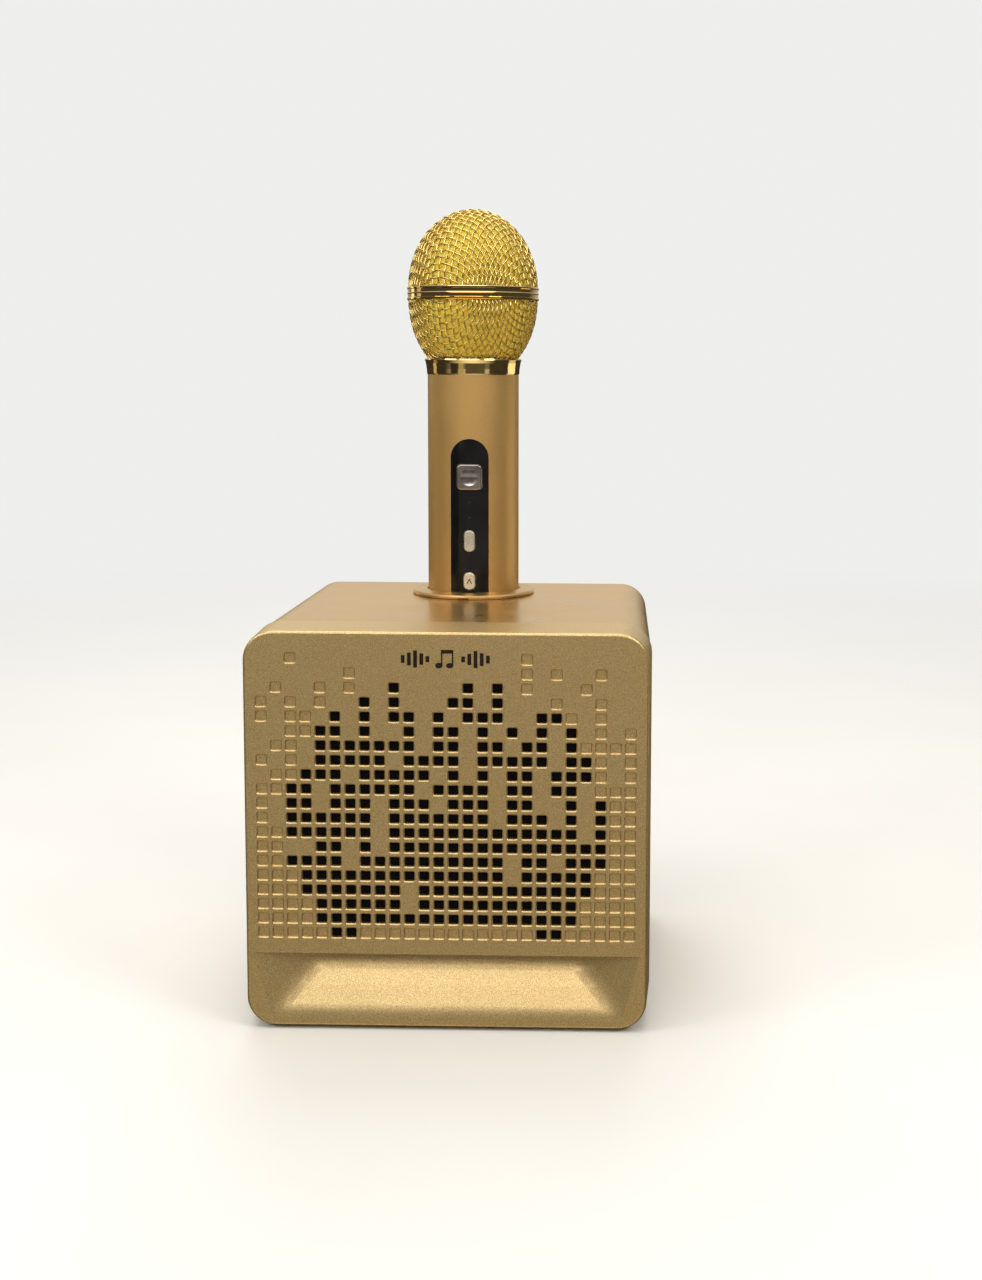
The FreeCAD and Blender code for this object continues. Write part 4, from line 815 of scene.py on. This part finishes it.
def light_card(name, place, target, wide, tall, level, glow):
    """A lit strip that the polished pieces mirror; seen by reflections only."""
    card = bpy.data.objects.new(name, flat_square(name, wide / 2, tall / 2))
    card.location = place
    card.rotation_euler = (Vector(target) - Vector(place)).to_track_quat("-Z", "Y").to_euler()
    bpy.context.scene.collection.objects.link(card)
    face = Shader(name + "_face", level, 0.0, 0.9)
    face.color(face.mix(face.span(face.noise(3, 2), 0.3, 0.7), tuple(c * 0.9 for c in level), level))
    face.set("Emission Color", (*level, 1.0))
    face.set("Emission Strength", glow)
    card.data.materials.append(face.material)
    card.visible_camera = False
    card.visible_diffuse = False
    card.visible_shadow = False


def make_world():
    """Pale to the eye; for reflections a dim room, lighter behind and overhead."""
    world = bpy.data.worlds.new("studio")
    bpy.context.scene.world = world
    world.use_nodes = True
    room = NodeTree(world.node_tree)
    direction = room.node("ShaderNodeSeparateXYZ")
    room.link(room.node("ShaderNodeTexCoord").outputs["Generated"], direction.inputs[0])
    ahead, height = direction.outputs["Y"], direction.outputs["Z"]

    rise = room.node("ShaderNodeValToRGB")
    levels = rise.color_ramp.elements
    levels[0].position, levels[0].color = 0.40, (*ROOM["below"], 1)
    levels[1].position, levels[1].color = 0.95, (*ROOM["above"], 1)
    for place, tone in ((0.50, "below"), (0.53, "level"), (0.66, "level")):
        levels.new(place).color = (*ROOM[tone], 1)
    room.link(room.span(height, -1, 1), rise.inputs["Fac"])

    table = room.mix(room.span(height, -0.12, -0.34), ROOM["table_far"], ROOM["table"])
    table = room.mix(room.span(height, -0.48, -0.72), table, ROOM["table_near"])
    on_table = room.math("MULTIPLY", room.span(ahead, -0.35, -0.80), room.span(height, -0.03, -0.16))
    tone = room.mix(on_table, rise.outputs["Color"], table)
    on_wall = room.math("MULTIPLY", room.span(ahead, 0.55, 0.95), room.span(height, 0.0, 0.05))
    tone = room.mix(on_wall, tone, ROOM["wall"])
    to_eye = room.node("ShaderNodeLightPath").outputs["Is Camera Ray"]
    room.link(room.mix(to_eye, tone, PALE), room.tree.nodes["Background"].inputs["Color"])


def make_light():
    """World, lamps and the cards that polished pieces mirror."""
    make_world()
    area_light("key", (-0.10, -1.55, 1.00), BOX_AIM, 1.5, 8.8, (1.0, 0.97, 0.94), 0.6)
    area_light("side", (0.85, -0.75, 0.95), BOX_AIM, 0.5, 5, (1.0, 0.96, 0.90))
    area_light("top", (-0.1, -0.30, 1.5), BOX_AIM, 1.1, 6, SOFT_WHITE)
    area_light("top_back", (-0.1, 0.80, 1.4), BOX_AIM, 0.9, 6, SOFT_WHITE)
    area_light("fill", (-1.2, -0.8, 1.05), BOX_AIM, 0.8, 6, SOFT_WHITE)
    rear = area_light("rear", (-0.2, 1.6, 1.1), HEAD_AIM, 0.9, 6, SOFT_WHITE)
    rear.visible_glossy = False
    light_card("stripe_left", (-1.02, 0.30, 0.10), HEAD_AIM, 0.22, 0.55, (0.55, 0.46, 0.26), 0.25)
    light_card("dark_left", (-0.48, -0.48, 0.11), HEAD_AIM, 0.26, 0.25, (0.02, 0.018, 0.010), 0.3)
    light_card("stripe_near", (-0.058, -0.09, 0.243), COLLAR_AIM, 0.030, 0.028, (0.36, 0.32, 0.18), 0.5)
    light_card("dark_right", (0.63, -0.26, 0.11), HEAD_AIM, 0.50, 0.25, (0.03, 0.027, 0.016), 0.3)
    light_card("shade_mid", (0.024, -0.10, 0.243), COLLAR_AIM, 0.125, 0.034, (0.070, 0.064, 0.042), 0.5)
    light_card("window_right", (0.98, 0.53, 0.02), HEAD_AIM, 0.60, 0.42, (1.0, 0.90, 0.62), 0.45)
    light_card("window_left", (-0.95, 0.75, 0.50), HEAD_AIM, 0.25, 0.55, (1.0, 0.88, 0.62), 0.6)
    bpy.context.scene.view_settings.view_transform = "Standard"
    bpy.context.scene.view_settings.look = "None"


def main():
    make_camera()
    make_floor()
    make_light()
    dress_frame()
    woven_head()
    foam_liner()
    grille_sheet()
    button_arrows()
    rear_marks()


main()
